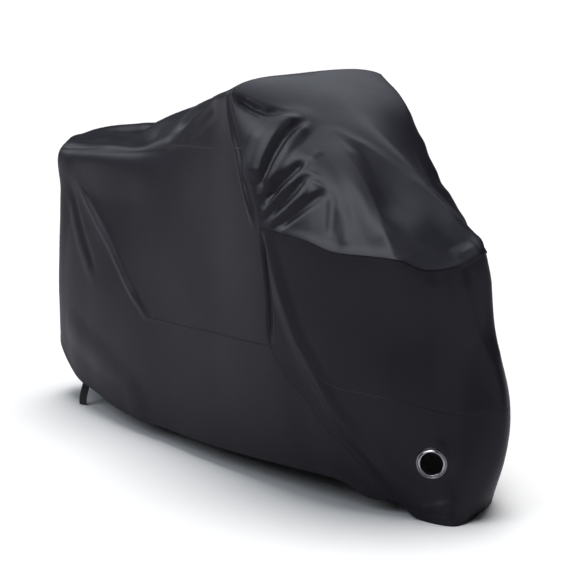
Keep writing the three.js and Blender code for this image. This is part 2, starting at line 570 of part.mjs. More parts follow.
// Stations along the seams at a level
const stations = (from, to, count) =>
  Array.from({ length: count + 1 }, (_, i) => from + ((to - from) * i) / count);
const rearSeamRib = (level) =>
  lookUp(REAR_SEAM, "level", "rib", Math.min(Math.max(level, LOWER_SEAM), SEAT_EDGE));
const bellySeamRib = (level) => lookUp(BELLY_SEAM, "level", "rib", level);
const rearRibs = (level) => stations(REAR_MIDDLE, rearSeamRib(level), REAR_COLUMNS);
const sideRibs = (level) => stations(rearSeamRib(level), MIRROR, SIDE_COLUMNS);
const bellyRibs = (level) => stations(rearSeamRib(LOWER_SEAM), bellySeamRib(level), SIDE_COLUMNS);
const SKIRT_CROWDING = 1.5;
const wheelRibs = (level) => FRONT_RIBS.map((rib) => {
  const share = (rib - MIRROR) / (NOSE - MIRROR);
  return rib + (bellySeamRib(level) - MIRROR) * (1 - share) ** SKIRT_CROWDING;
});
const seatRibs = () => [...rearRibs(SEAT_EDGE), ...sideRibs(SEAT_EDGE).slice(1)];
const frontRibs = () => FRONT_RIBS;

const SIDES = [
  { name: "right", side: -1 },
  { name: "left", side: 1 },
];

// Panels
function seatPanel() {
  const cloth = new Cloth();
  for (const { side } of SIDES) cloth.block(side, TOP_LEVELS, seatRibs);
  return cloth.solid();
}

function hoodPanel() {
  const cloth = new Cloth();
  for (const { side } of SIDES) {
    cloth.block(side, HOOD_LEVELS, frontRibs);
    cloth.block(side, TOP_LEVELS, frontRibs);
  }
  return cloth.solid();
}

function frontPanel() {
  const cloth = new Cloth();
  for (const { side } of SIDES) cloth.block(side, WALL_LEVELS, frontRibs);
  return cloth.solid();
}

function sidePanel({ side }) {
  const cloth = new Cloth();
  cloth.block(side, WALL_LEVELS, sideRibs);
  cloth.block(side, HOOD_LEVELS, sideRibs);
  return cloth.solid();
}

function rearSkirt({ side }) {
  const cloth = new Cloth();
  cloth.block(side, SKIRT_LEVELS, rearRibs);
  cloth.block(side, SKIRT_LEVELS, bellyRibs);
  cloth.block(side, WALL_LEVELS, rearRibs);
  cloth.block(side, HOOD_LEVELS, rearRibs);
  return cloth.solid();
}

// Flat seat of an eyelet: centre, outward direction and two directions in the cloth
function eyeletFrame(side) {
  const { rib, level } = EYELET_SPOT;
  const centre = cover(side, rib, level);
  const out = outward(cover, side, rib, level);
  const across = unit(cross([0, 0, 1], out));
  return { centre, out, across, up: cross(out, across) };
}

function wheelSkirt({ side }) {
  const cloth = new Cloth();
  const { rows: [low, high], columns: [back, front] } = EYELET_BLOCK;
  const inBlock = (r, c) => r >= low && r < high && c >= back && c < front;
  const rows = cloth.block(side, SKIRT_LEVELS, wheelRibs, inBlock);
  const border = [];
  for (let c = back; c < front; c += 1) border.push(rows[low][c]);
  for (let r = low; r < high; r += 1) border.push(rows[r][front]);
  for (let c = front; c > back; c -= 1) border.push(rows[high][c]);
  for (let r = high; r > low; r -= 1) border.push(rows[r][back]);
  const { centre, out, across, up } = eyeletFrame(side);
  const turns = border.map((corner, i) => {
    const away = minus(cloth.points[corner], centre);
    const lag = Math.atan2(dot(away, up), dot(away, across)) - (-side * 2 * Math.PI * i) / border.length;
    return Math.atan2(Math.sin(lag), Math.cos(lag));
  });
  const start = turns.reduce((sum, turn) => sum + turn, 0) / turns.length;
  const count = 2 * border.length;
  const rings = [EYELET_FLAT_RADIUS, EYELET_CLOTH_HOLE].map((radius) =>
    Array.from({ length: count }, (_, i) => {
      const angle = start - (side * 2 * Math.PI * i) / count;
      const reach = plus(times(across, radius * Math.cos(angle)), times(up, radius * Math.sin(angle)));
      return cloth.add(`ring:${radius}:${i}`, plus(centre, reach), out, { side, ...EYELET_SPOT });
    }));
  const [flat, hole] = rings;
  border.forEach((corner, i) => {
    const next = border[(i + 1) % border.length];
    const [a, b, c] = [2 * i, 2 * i + 1, (2 * i + 2) % count];
    cloth.face([corner, next, flat[b]], side);
    cloth.face([corner, flat[b], flat[a]], side);
    cloth.face([next, flat[c], flat[b]], side);
    for (const [from, to] of [[a, b], [b, c]]) {
      cloth.face([flat[from], flat[to], hole[to]], side);
      cloth.face([flat[from], hole[to], hole[from]], side);
    }
  });
  return cloth.solid();
}

// Metal eyelet: a barrel with a rim on each face of the cloth, turned round its axis
function eyelet({ side }) {
  const { centre, out, across, up } = eyeletFrame(side);
  const front = EYELET_CLEARANCE;
  const rear = -CLOTH_THICKNESS - EYELET_CLEARANCE;
  const top = front + EYELET_RIM_HEIGHT;
  const bottom = rear - EYELET_RIM_HEIGHT;
  const middle = (EYELET_HOLE_RADIUS + EYELET_RIM_RADIUS) / 2;
  const outline = [
    { radius: EYELET_BARREL_RADIUS, height: rear },
    { radius: EYELET_RIM_RADIUS, height: rear },
    { radius: middle, height: bottom },
    { radius: EYELET_HOLE_RADIUS + EYELET_LIP, height: bottom + EYELET_LIP },
    { radius: EYELET_HOLE_RADIUS, height: (front + rear) / 2 },
    { radius: EYELET_HOLE_RADIUS + EYELET_LIP, height: top - EYELET_LIP_DROP },
    { radius: middle - EYELET_CROWN_HALF, height: top + EYELET_CROWN },
    { radius: middle + EYELET_CROWN_HALF, height: top },
    { radius: EYELET_RIM_RADIUS - EYELET_EDGE, height: front + EYELET_EDGE },
    { radius: EYELET_RIM_RADIUS, height: front },
    { radius: EYELET_BARREL_RADIUS, height: front },
  ];
  const points = [];
  for (let i = 0; i < EYELET_SIDES; i += 1) {
    const angle = (2 * Math.PI * i) / EYELET_SIDES;
    const spoke = plus(times(across, Math.cos(angle)), times(up, Math.sin(angle)));
    for (const { radius, height } of outline) {
      points.push(plus(centre, plus(times(spoke, radius), times(out, height))));
    }
  }
  const faces = [];
  const count = outline.length;
  for (let i = 0; i < EYELET_SIDES; i += 1) {
    const next = (i + 1) % EYELET_SIDES;
    for (let k = 0; k < count; k += 1) {
      const [a, b] = [i * count + k, i * count + ((k + 1) % count)];
      const [c, d] = [next * count + ((k + 1) % count), next * count + k];
      faces.push([a, b, c], [a, c, d]);
    }
  }
  return toGeometry(points, faces);
}

// Webbing strap, sewn inside the rear hem and hanging free below it. Each row gives the
// drop below the hem, the sway along it, the way outwards and the turn of the width in degrees.
const STRAP_RIB = 3.45;
const STRAP_PATH = [
  { drop: -40, sway: 0, outwards: 0, turn: 0 },
  { drop: -20, sway: 0, outwards: -4, turn: 14 },
  { drop: 2, sway: -1, outwards: -9, turn: 36 },
  { drop: 30, sway: -9, outwards: -6, turn: 44 },
  { drop: 60, sway: -13, outwards: 0, turn: 42 },
  { drop: 88, sway: -8, outwards: 4, turn: 36 },
];
const STRAP_TURNS = STRAP_PATH.map(({ turn }, i) => ({ share: i / (STRAP_PATH.length - 1), turn }));

function rearStrap() {
  const ribs = rearRibs(HEM);
  const ahead = ribs.findIndex((rib) => rib > STRAP_RIB);
  const share = (STRAP_RIB - ribs[ahead - 1]) / (ribs[ahead] - ribs[ahead - 1]);
  const [low, high] = SKIRT_LEVELS.slice(0, 2).map((level) => {
    const [back, front] = [ribs[ahead - 1], ribs[ahead]].map((rib) => cover(-1, rib, level));
    return { point: blend(back, front, share), across: unit(minus(front, back)) };
  });
  const across = low.across;
  const up = unit(minus(high.point, low.point));
  const flat = unit(cross(across, up));
  const setBack = CLOTH_THICKNESS + STRAP_GAP + STRAP_THICKNESS;
  const path = new THREE.CatmullRomCurve3(STRAP_PATH.map(({ drop, sway, outwards }) => {
    const hung = drop < 0 ? times(up, -drop) : [0, 0, -drop];
    const shift = plus(times(across, sway), times(flat, outwards - setBack));
    return new THREE.Vector3(...plus(low.point, plus(hung, shift)));
  }));
  const points = [];
  for (let i = 0; i <= STRAP_STEPS; i += 1) {
    const at = path.getPoint(i / STRAP_STEPS).toArray();
    const run = path.getTangent(i / STRAP_STEPS).toArray();
    const turn = THREE.MathUtils.degToRad(lookUp(STRAP_TURNS, "share", "turn", i / STRAP_STEPS));
    const spread = minus(times(across, Math.cos(turn)), times(flat, Math.sin(turn)));
    const face = unit(cross(spread, run));
    const out = times(face, Math.sign(dot(face, flat)) * STRAP_THICKNESS);
    const half = times(spread, STRAP_WIDTH / 2);
    points.push(minus(at, half), plus(at, half), plus(plus(at, half), out), plus(minus(at, half), out));
  }
  const faces = [[0, 2, 1], [0, 3, 2]];
  for (let i = 0; i < STRAP_STEPS; i += 1) {
    for (let k = 0; k < 4; k += 1) {
      const [near, far] = [i * 4 + k, i * 4 + ((k + 1) % 4)];
      faces.push([near, far + 4, near + 4], [near, far, far + 4]);
    }
  }
  const end = STRAP_STEPS * 4;
  faces.push([end, end + 1, end + 2], [end, end + 2, end + 3]);
  return toGeometry(points, faces);
}

// Finishes
const cloth = () => new THREE.MeshStandardMaterial({
  color: 0x23242a, roughness: 0.52, metalness: 0, side: THREE.FrontSide,
});
const webbing = () => new THREE.MeshStandardMaterial({ color: 0x101012, roughness: 0.85, metalness: 0 });
const steel = () => new THREE.MeshStandardMaterial({ color: 0x3a3b40, roughness: 0.28, metalness: 0.95 });

const root = new THREE.Group();
root.name = "motorcycle_cover";

function place(name, geometry, material) {
  geometry.translate(-FLOOR_CENTRE.x, -FLOOR_CENTRE.y, -FLOOR_CENTRE.z);
  const mesh = new THREE.Mesh(geometry, material);
  mesh.name = name;
  root.add(mesh);
}

place("seat_panel", seatPanel(), cloth());
place("hood_panel", hoodPanel(), cloth());
place("front_panel", frontPanel(), cloth());
for (const half of SIDES) {
  place(`side_panel_${half.name}`, sidePanel(half), cloth());
  place(`rear_skirt_${half.name}`, rearSkirt(half), cloth());
  place(`wheel_skirt_${half.name}`, wheelSkirt(half), cloth());
  place(`eyelet_${half.name}`, eyelet(half), steel());
}
place("rear_strap", rearStrap(), webbing());

export default root;
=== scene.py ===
"""Dress the motorcycle cover: cloth panels with folds and seams, eyelets and strap.

The drape is worked out from the same sections and folds as the solids, in
millimetres, and every piece is built in metres in the frame of the solids.
"""

import logging
import math
from dataclasses import dataclass
from enum import Enum, IntEnum
from typing import Callable, Iterable, Optional, Sequence, Union

import bmesh
import bpy
import numpy as np
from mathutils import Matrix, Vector

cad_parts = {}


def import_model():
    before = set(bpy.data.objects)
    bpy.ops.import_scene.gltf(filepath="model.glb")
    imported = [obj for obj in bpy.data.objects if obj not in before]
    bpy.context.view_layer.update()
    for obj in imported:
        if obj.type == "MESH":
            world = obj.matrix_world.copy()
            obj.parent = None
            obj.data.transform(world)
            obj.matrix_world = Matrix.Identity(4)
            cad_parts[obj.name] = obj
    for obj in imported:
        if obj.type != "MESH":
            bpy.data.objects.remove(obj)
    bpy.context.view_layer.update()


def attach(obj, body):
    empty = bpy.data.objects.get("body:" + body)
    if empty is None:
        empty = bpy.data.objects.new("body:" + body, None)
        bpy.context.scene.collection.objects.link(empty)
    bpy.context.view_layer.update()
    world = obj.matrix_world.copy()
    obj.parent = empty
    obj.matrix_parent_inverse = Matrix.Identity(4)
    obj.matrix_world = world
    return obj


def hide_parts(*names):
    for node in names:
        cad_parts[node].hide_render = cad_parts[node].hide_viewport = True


log = logging.getLogger("motorcycle_cover")

Point = tuple[float, float, float]
Colour = tuple[float, float, float]
Array = np.ndarray
MM = 0.001
TAU = 2 * math.pi
FLOOR_CENTRE = np.array([-96.0, -14.5, 1.0]) * MM
ROOT = "root"


# The shape of the drape


class Side(IntEnum):
    """Side of the cover, as the sign of its Y."""

    RIGHT = -1
    LEFT = 1


class Level(IntEnum):
    """Levels up a section of the cover."""

    HEM = 0
    LOWER_SEAM = 1
    WAIST = 2
    HOOD_EDGE = 3
    SEAT_EDGE = 4
    BROW = 5
    TOP = 6


REAR_MIDDLE = 0.0
MIRROR = 8.0
NOSE = 15.0


@dataclass(frozen=True)
class Section:
    """Points of one section in millimetres, each side's from the hem up to the brow.

    Its turns say how hard the cloth turns at the hood's edge, the seat's edge and the brow.
    """

    rib: str
    top: Point
    turns: Point
    right: tuple[Point, ...]
    left: tuple[Point, ...] = ()


@dataclass(frozen=True)
class Fold:
    """One fold: size in millimetres, sharpness and route as rib and level."""

    side: Side
    name: str
    height: float
    width: float
    sharp: float
    route: tuple[tuple[float, float], ...]


def folds(side: Side, rows: Sequence[tuple]) -> tuple[Fold, ...]:
    """Return one side's folds from their rows."""
    return tuple(Fold(side, *row) for row in rows)


# Rows of name, top point, turns, right side and left side, from the rear middle at rib 0
# to the nose at rib 15; those two lie on the middle and have no left side
SECTIONS = tuple(Section(*row) for row in (
    ("rear middle", (-1095, 0, 1006), (0, 0.5, 0),
     ((-1185, 0, 195), (-1195, 0, 450), (-1200, 0, 620),
      (-1203, 0, 800), (-1196, 0, 1003), (-1150, 0, 1004))),
    ("rear quarter", (-1050, 0, 1000), (0, 0.1, 0),
     ((-1178, -100, 198), (-1185, -100, 450), (-1188, -100, 615),
      (-1185, -100, 800), (-1176, -107, 978), (-1126, -82, 1000)),
     ((-1178, 100, 190), (-1185, 100, 445), (-1188, 100, 615),
      (-1185, 100, 805), (-1165, 105, 1018), (-1110, 78, 1006))),
    ("rear corner", (-990, 0, 998), (0, 0, 0),
     ((-1145, -187, 205), (-1130, -196, 445), (-1120, -197, 610),
      (-1108, -195, 800), (-1098, -187, 964), (-1062, -140, 990)),
     ((-1135, 188, 185), (-1125, 195, 440), (-1118, 197, 610),
      (-1105, 195, 810), (-1082, 188, 1024), (-1040, 130, 1004))),
    ("rear flank", (-890, 0, 1016), (0, 0, 0),
     ((-990, -236, 114), (-1010, -247, 440), (-1005, -238, 600),
      (-985, -217, 800), (-967, -203, 972), (-945, -152, 994)),
     ((-1010, 232, 140), (-1005, 247, 440), (-1000, 240, 600),
      (-980, 222, 810), (-960, 203, 1038), (-925, 140, 1024))),
    ("pillion", (-745, 0, 1080), (0, 0, 0),
     ((-800, -265, 76), (-795, -288, 440), (-800, -270, 600),
      (-795, -240, 805), (-785, -217, 990), (-775, -163, 1010)),
     ((-800, 265, 46), (-795, 288, 440), (-800, 272, 600),
      (-795, 245, 820), (-785, 218, 1078), (-770, 145, 1100))),
    ("seat", (-560, 0, 1146), (0, 0.3, 0),
     ((-560, -300, 52), (-560, -312, 440), (-560, -290, 605),
      (-560, -255, 810), (-560, -221, 1010), (-555, -165, 1040)),
     ((-560, 300, 26), (-560, 312, 440), (-560, 292, 605),
      (-560, 262, 830), (-560, 232, 1090), (-555, 155, 1132))),
    ("seat front", (-360, 0, 1200), (0, 0.6, 0.7),
     ((-300, -323, 57), (-300, -330, 447), (-310, -318, 615),
      (-320, -288, 820), (-335, -237, 1050), (-330, -165, 1175)),
     ((-300, 323, 20), (-300, 330, 447), (-310, 320, 615),
      (-320, 292, 840), (-335, 255, 1115), (-330, 172, 1190))),
    ("tank", (-140, 0, 1265), (0, 0.3, 0.7),
     ((0, -340, 65), (10, -361, 468), (0, -355, 640),
      (-20, -340, 845), (-65, -308, 1076), (-75, -262, 1232)),
     ((0, 335, 16), (10, 355, 460), (0, 352, 640),
      (-20, 342, 850), (-65, 318, 1130), (-75, 275, 1250))),
    ("mirror", (50, 0, 1309), (0, 0, 0.5),
     ((370, -336, 82), (348, -395, 488), (338, -400, 680),
      (306, -402, 868), (188, -372, 1107), (119, -360, 1276)),
     ((370, 322, 13), (348, 372, 470), (338, 378, 660),
      (300, 376, 850), (170, 372, 1105), (64, 366, 1290))),
    ("grip", (180, 0, 1273), (0.5, 0, 0.3),
     ((500, -322, 86), (470, -381, 500), (482, -386, 670),
      (496, -380, 849), (400, -300, 1087), (270, -215, 1205)),
     ((500, 305, 12), (480, 350, 470), (488, 350, 660),
      (480, 330, 850), (352, 304, 1050), (236, 314, 1198))),
    ("fairing", (388, 0, 1166), (0.6, 0, 0),
     ((594, -310, 83), (585, -357, 405), (600, -357, 640),
      (600, -352, 822), (590, -268, 985), (455, -168, 1112)),
     ((600, 275, 11), (590, 315, 430), (600, 285, 630),
      (600, 245, 825), (495, 213, 925), (426, 140, 1073))),
    ("fairing front", (570, -10, 1064), (0.6, 0, 0),
     ((680, -273, 43), (700, -316, 392), (708, -313, 620),
      (715, -312, 822), (700, -270, 900), (630, -135, 985)),
     ((690, 230, 10), (690, 265, 392), (705, 230, 620),
      (705, 165, 822), (640, 140, 880), (600, 85, 965))),
    ("wheel rear", (704, -18, 976), (0.6, 0, 0),
     ((780, -238, 38), (785, -280, 383), (795, -256, 610),
      (805, -268, 815), (793, -230, 862), (745, -110, 925)),
     ((770, 175, 8), (780, 215, 375), (790, 150, 610),
      (788, 104, 818), (761, 91, 854), (732, 53, 911))),
    ("wheel side", (780, -22, 928), (0.6, 0, 0),
     ((845, -225, 4), (868, -215, 360), (862, -198, 600),
      (848, -220, 788), (840, -186, 832), (812, -90, 880)),
     ((830, 130, 5), (855, 130, 352), (858, 80, 600),
      (840, 57, 803), (826, 45, 829), (803, 24, 868))),
    ("wheel corner", (850, -22, 883), (0.6, 0, 0),
     ((962, -182, 3), (930, -135, 338), (905, -118, 600),
      (892, -130, 793), (880, -98, 822), (866, -50, 850)),
     ((885, 70, 4), (934, 86, 342), (905, 34, 605),
      (882, 18, 812), (872, 12, 832), (862, 6, 852))),
    ("nose", (891, -20, 860), (0.6, 0, 0),
     ((938, -40, 4), (1011, -10, 352), (934, -5, 575),
      (908, -20, 828), (903, -20, 838), (897, -20, 847))),
))

# The seam below the mirror turns the cloth lengthways, more so higher up
MIRROR_TURN = (0, 0.1, 0.2, 0.4, 0.7, 0.9)

# Seam that climbs from the lower seam to the rear corner of the seat, by level
REAR_SEAM = {1: 5.6, 1.6: 5.08, 2.3: 4.48, 3: 3.62, 3.6: 2.6, 4: 2.1}
# Seam that drops from the mirror seam to the hem behind the front wheel, by level
BELLY_SEAM = {0: 11.8, 0.2: 11.2, 0.4: 10.4, 0.55: 9.4, 0.75: 8.5, 1: 8}

# Rows of name, height, width, sharpness and route
FOLDS = folds(Side.RIGHT, (
    ("rear pull", 3, 58, 0.2, ((2.3, 3.75), (2.95, 3.4), (3.58, 3.02), (4.1, 2.62), (4.6, 2.15))),
    ("rear pull crest", 8, 26, 0.4, ((3.3, 3.15), (3.95, 2.72), (4.5, 2.26), (5.05, 1.62), (5.62, 1.02))),
    ("rear faint pull", 4, 40, 0.2, ((2.7, 3.0), (3.48, 2.23), (4.05, 1.47))),
    ("rear faint hollow", -3, 26, 0.2, ((2.9, 3.05), (3.55, 2.4), (4.1, 1.7))),
    ("skirt flare", 9, 90, 0, ((2.9, 0.62), (4.12, 0.45), (5.12, 0.27), (5.5, 0.0))),
    ("seat edge roll", 11, 44, 0, ((0.5, 4.5), (2, 4.5), (4, 4.45), (6, 4.2))),
    ("mirror binding", 10, 20, 0.1, ((7.9, 3.04), (7.87, 3.6), (7.85, 4.2), (7.82, 5.0))),
    ("mirror seam valley", -12, 18, 0.2, ((8.02, 2.85), (8.05, 2.3), (8.05, 1.7), (8.02, 1.1))),
    ("seat hollow", -24, 90, 0, ((1.4, 5.6), (3.2, 5.6), (4.2, 5.4), (5.0, 5.1))),
    ("mirror pull", 17, 44, 0.5, ((5.9, 4.0), (6.45, 4.58), (7.0, 4.95), (7.7, 4.95))),
    ("mirror pull hollow", -12, 46, 0, ((5.8, 4.4), (6.2, 4.85), (6.7, 5.1))),
    ("mirror small pull", 8, 34, 0.4, ((6.3, 4.1), (6.85, 4.55), (7.4, 4.8))),
    ("hood top valley", -16, 26, 0.5, ((8.08, 4.95), (8.29, 4.85), (8.51, 4.79), (8.92, 4.96))),
    ("hood facet", 20, 76, 0.1, ((9.07, 5.01), (8.72, 4.55), (8.41, 4.14), (8.19, 3.79), (8.09, 3.56))),
    ("hood upper valley", -18, 24, 0.3, ((9.14, 4.9), (8.9, 4.56), (8.66, 4.2), (8.42, 3.83), (8.2, 3.5))),
    ("hood upper ridge", 11, 30, 0.3, ((9.22, 4.86), (8.98, 4.45), (8.74, 4.06), (8.44, 3.69), (8.18, 3.4))),
    ("hood middle valley", -20, 30, 0.4, ((9.04, 3.97), (8.79, 3.77), (8.5, 3.57), (8.22, 3.33))),
    ("hood middle ridge", 10, 22, 0.6, ((9.08, 3.96), (8.87, 3.74), (8.62, 3.53), (8.16, 3.19))),
    ("hood lower valley", -12, 20, 0.4, ((9.06, 3.78), (8.81, 3.55), (8.56, 3.37), (8.2, 3.14))),
    ("hood lower ridge", 9, 20, 0.6, ((9.08, 3.69), (8.89, 3.48), (8.66, 3.29), (8.28, 3.05))),
    ("hood hem valley", -14, 28, 0.3, ((9.47, 3.75), (9.14, 3.49), (8.81, 3.29), (8.38, 3.05))),
    ("grip valley", -5, 24, 0.2, ((9.57, 3.78), (9.64, 3.53), (9.76, 3.19))),
    ("grip ridge", 5, 34, 0.3, ((9.82, 3.73), (10.03, 3.49), (10.31, 3.09))),
    ("fairing ridge", 17, 70, 0.7, ((9.76, 5.06), (10.28, 4.59), (10.89, 4.25), (11.76, 3.09))),
    ("windscreen line", 7, 44, 0.5, ((9.76, 5.19), (10.33, 5.38), (11.56, 5.62), (12.73, 5.76), (14.3, 5.3))),
    ("nose ear", 9, 42, 0.3, ((14.6, 4.9), (14.2, 4.2), (13.88, 3.6))),
    ("nose fold", 10, 44, 0.4, ((14.1, 2.9), (14.45, 2.15), (14.75, 1.6))),
    ("nose facet", 9, 60, 0.2, ((13.3, 2.95), (13.85, 2.35), (14.35, 1.8))),
    ("wheel drape", 12, 46, 0.5, ((8.12, 2.8), (8.38, 2.05), (8.95, 1.15), (9.47, 0.97), (10.03, 0.79),
                                  (10.65, 0.57), (11.43, 0.32), (12.2, 0.05))),
    ("belly hollow", -5, 50, 0.2, ((8.3, 0.95), (9.4, 0.75), (10.3, 0.5), (11.2, 0.28), (12.05, 0))),
    ("front hem crease", 6, 26, 0.5, ((13.0, 0.1), (13.5, 0.16), (14.2, 0.2))),
)) + folds(Side.LEFT, (
    ("rear pull", 11, 62, 0.3, ((2.4, 3.7), (3.5, 3.1), (4.5, 2.25), (5.5, 1.15))),
    ("seat edge roll", 9, 46, 0.1, ((0.3, 4.08), (2, 4.1), (4, 4.1), (5.8, 4.06))),
    ("mirror pull", 14, 48, 0.5, ((5.6, 4.05), (6.3, 4.5), (7.0, 4.9), (7.7, 4.95))),
    ("hood upper valley", -10, 50, 0.2, ((8.95, 4.5), (8.55, 4.05), (8.15, 3.4))),
    ("hood upper ridge", 6, 46, 0.3, ((9.3, 4.5), (8.8, 3.95), (8.2, 3.25))),
    ("hood lower valley", -7, 50, 0.2, ((9.6, 4.0), (8.95, 3.45), (8.3, 3.08))),
    ("fairing ridge", 5, 62, 0.4, ((9.9, 4.9), (10.6, 4.2), (11.4, 3.5), (12, 3.08))),
    ("wheel drape", 13, 60, 0.4, ((8.15, 2.8), (8.7, 1.6), (9.6, 0.95), (10.8, 0.5), (12.1, 0.05))),
    ("nose fold", 6, 50, 0.3, ((14.2, 2.85), (14.5, 2.1), (14.7, 1.5))),
))

# Waver of the cloth: a share of it and two crossing waves, each as radians a metre along
# X, Y and Z and a phase
WAVERS = (
    (1.0, (((11, 0, 5), 1.3), ((0, -4, 9), 0.4))),
    (0.45, (((23, 0, -17), 2.1), ((0, 13, 19), 1.1))),
)

# Finer creases, which only the dressed cloth has
CREASES = folds(Side.RIGHT, (
    ("grip crumple high", 4, 11, 0.4, ((9.11, 4.03), (9.43, 4.43))),
    ("grip crumple middle", 4, 10, 0.4, ((9.0, 3.8), (9.27, 3.88))),
    ("grip crumple low", 4, 10, 0.4, ((9.14, 3.74), (9.36, 3.77))),
))


def unit(vectors: Array) -> Array:
    """Return the vectors at length one."""
    return vectors / (np.linalg.norm(vectors, axis=-1, keepdims=True) + 1e-12)


def slope(back: Array, ahead: Array, near: Array, far: Array) -> Array:
    """Return the slope at a stop, from the slopes and lengths of the pieces beside it."""
    return (back * far + ahead * near) / (near + far)


def turned(smooth: Array, back: Array, ahead: Array, turn: Array) -> tuple[Array, Array]:
    """Return the slopes that arrive at and leave a stop, apart where the cloth turns."""
    return smooth + (back - smooth) * turn, smooth + (ahead - smooth) * turn


def curve(s: Array, length: Array, p0: Array, p1: Array, m0: Array, m1: Array) -> Array:
    """Return points on smooth curve pieces.

    Args:
        s: Share of the way along each piece.
        length: Length that the slopes are scaled to.
        p0: Starts of the pieces.
        p1: Ends of the pieces.
        m0: Slopes at the starts.
        m1: Slopes at the ends.

    Returns:
        The points at s.
    """
    s2, s3 = s * s, s * s * s
    begin = (2 * s3 - 3 * s2 + 1) * p0 + (s3 - 2 * s2 + s) * length * m0
    return begin + (3 * s2 - 2 * s3) * p1 + (s3 - s2) * length * m1


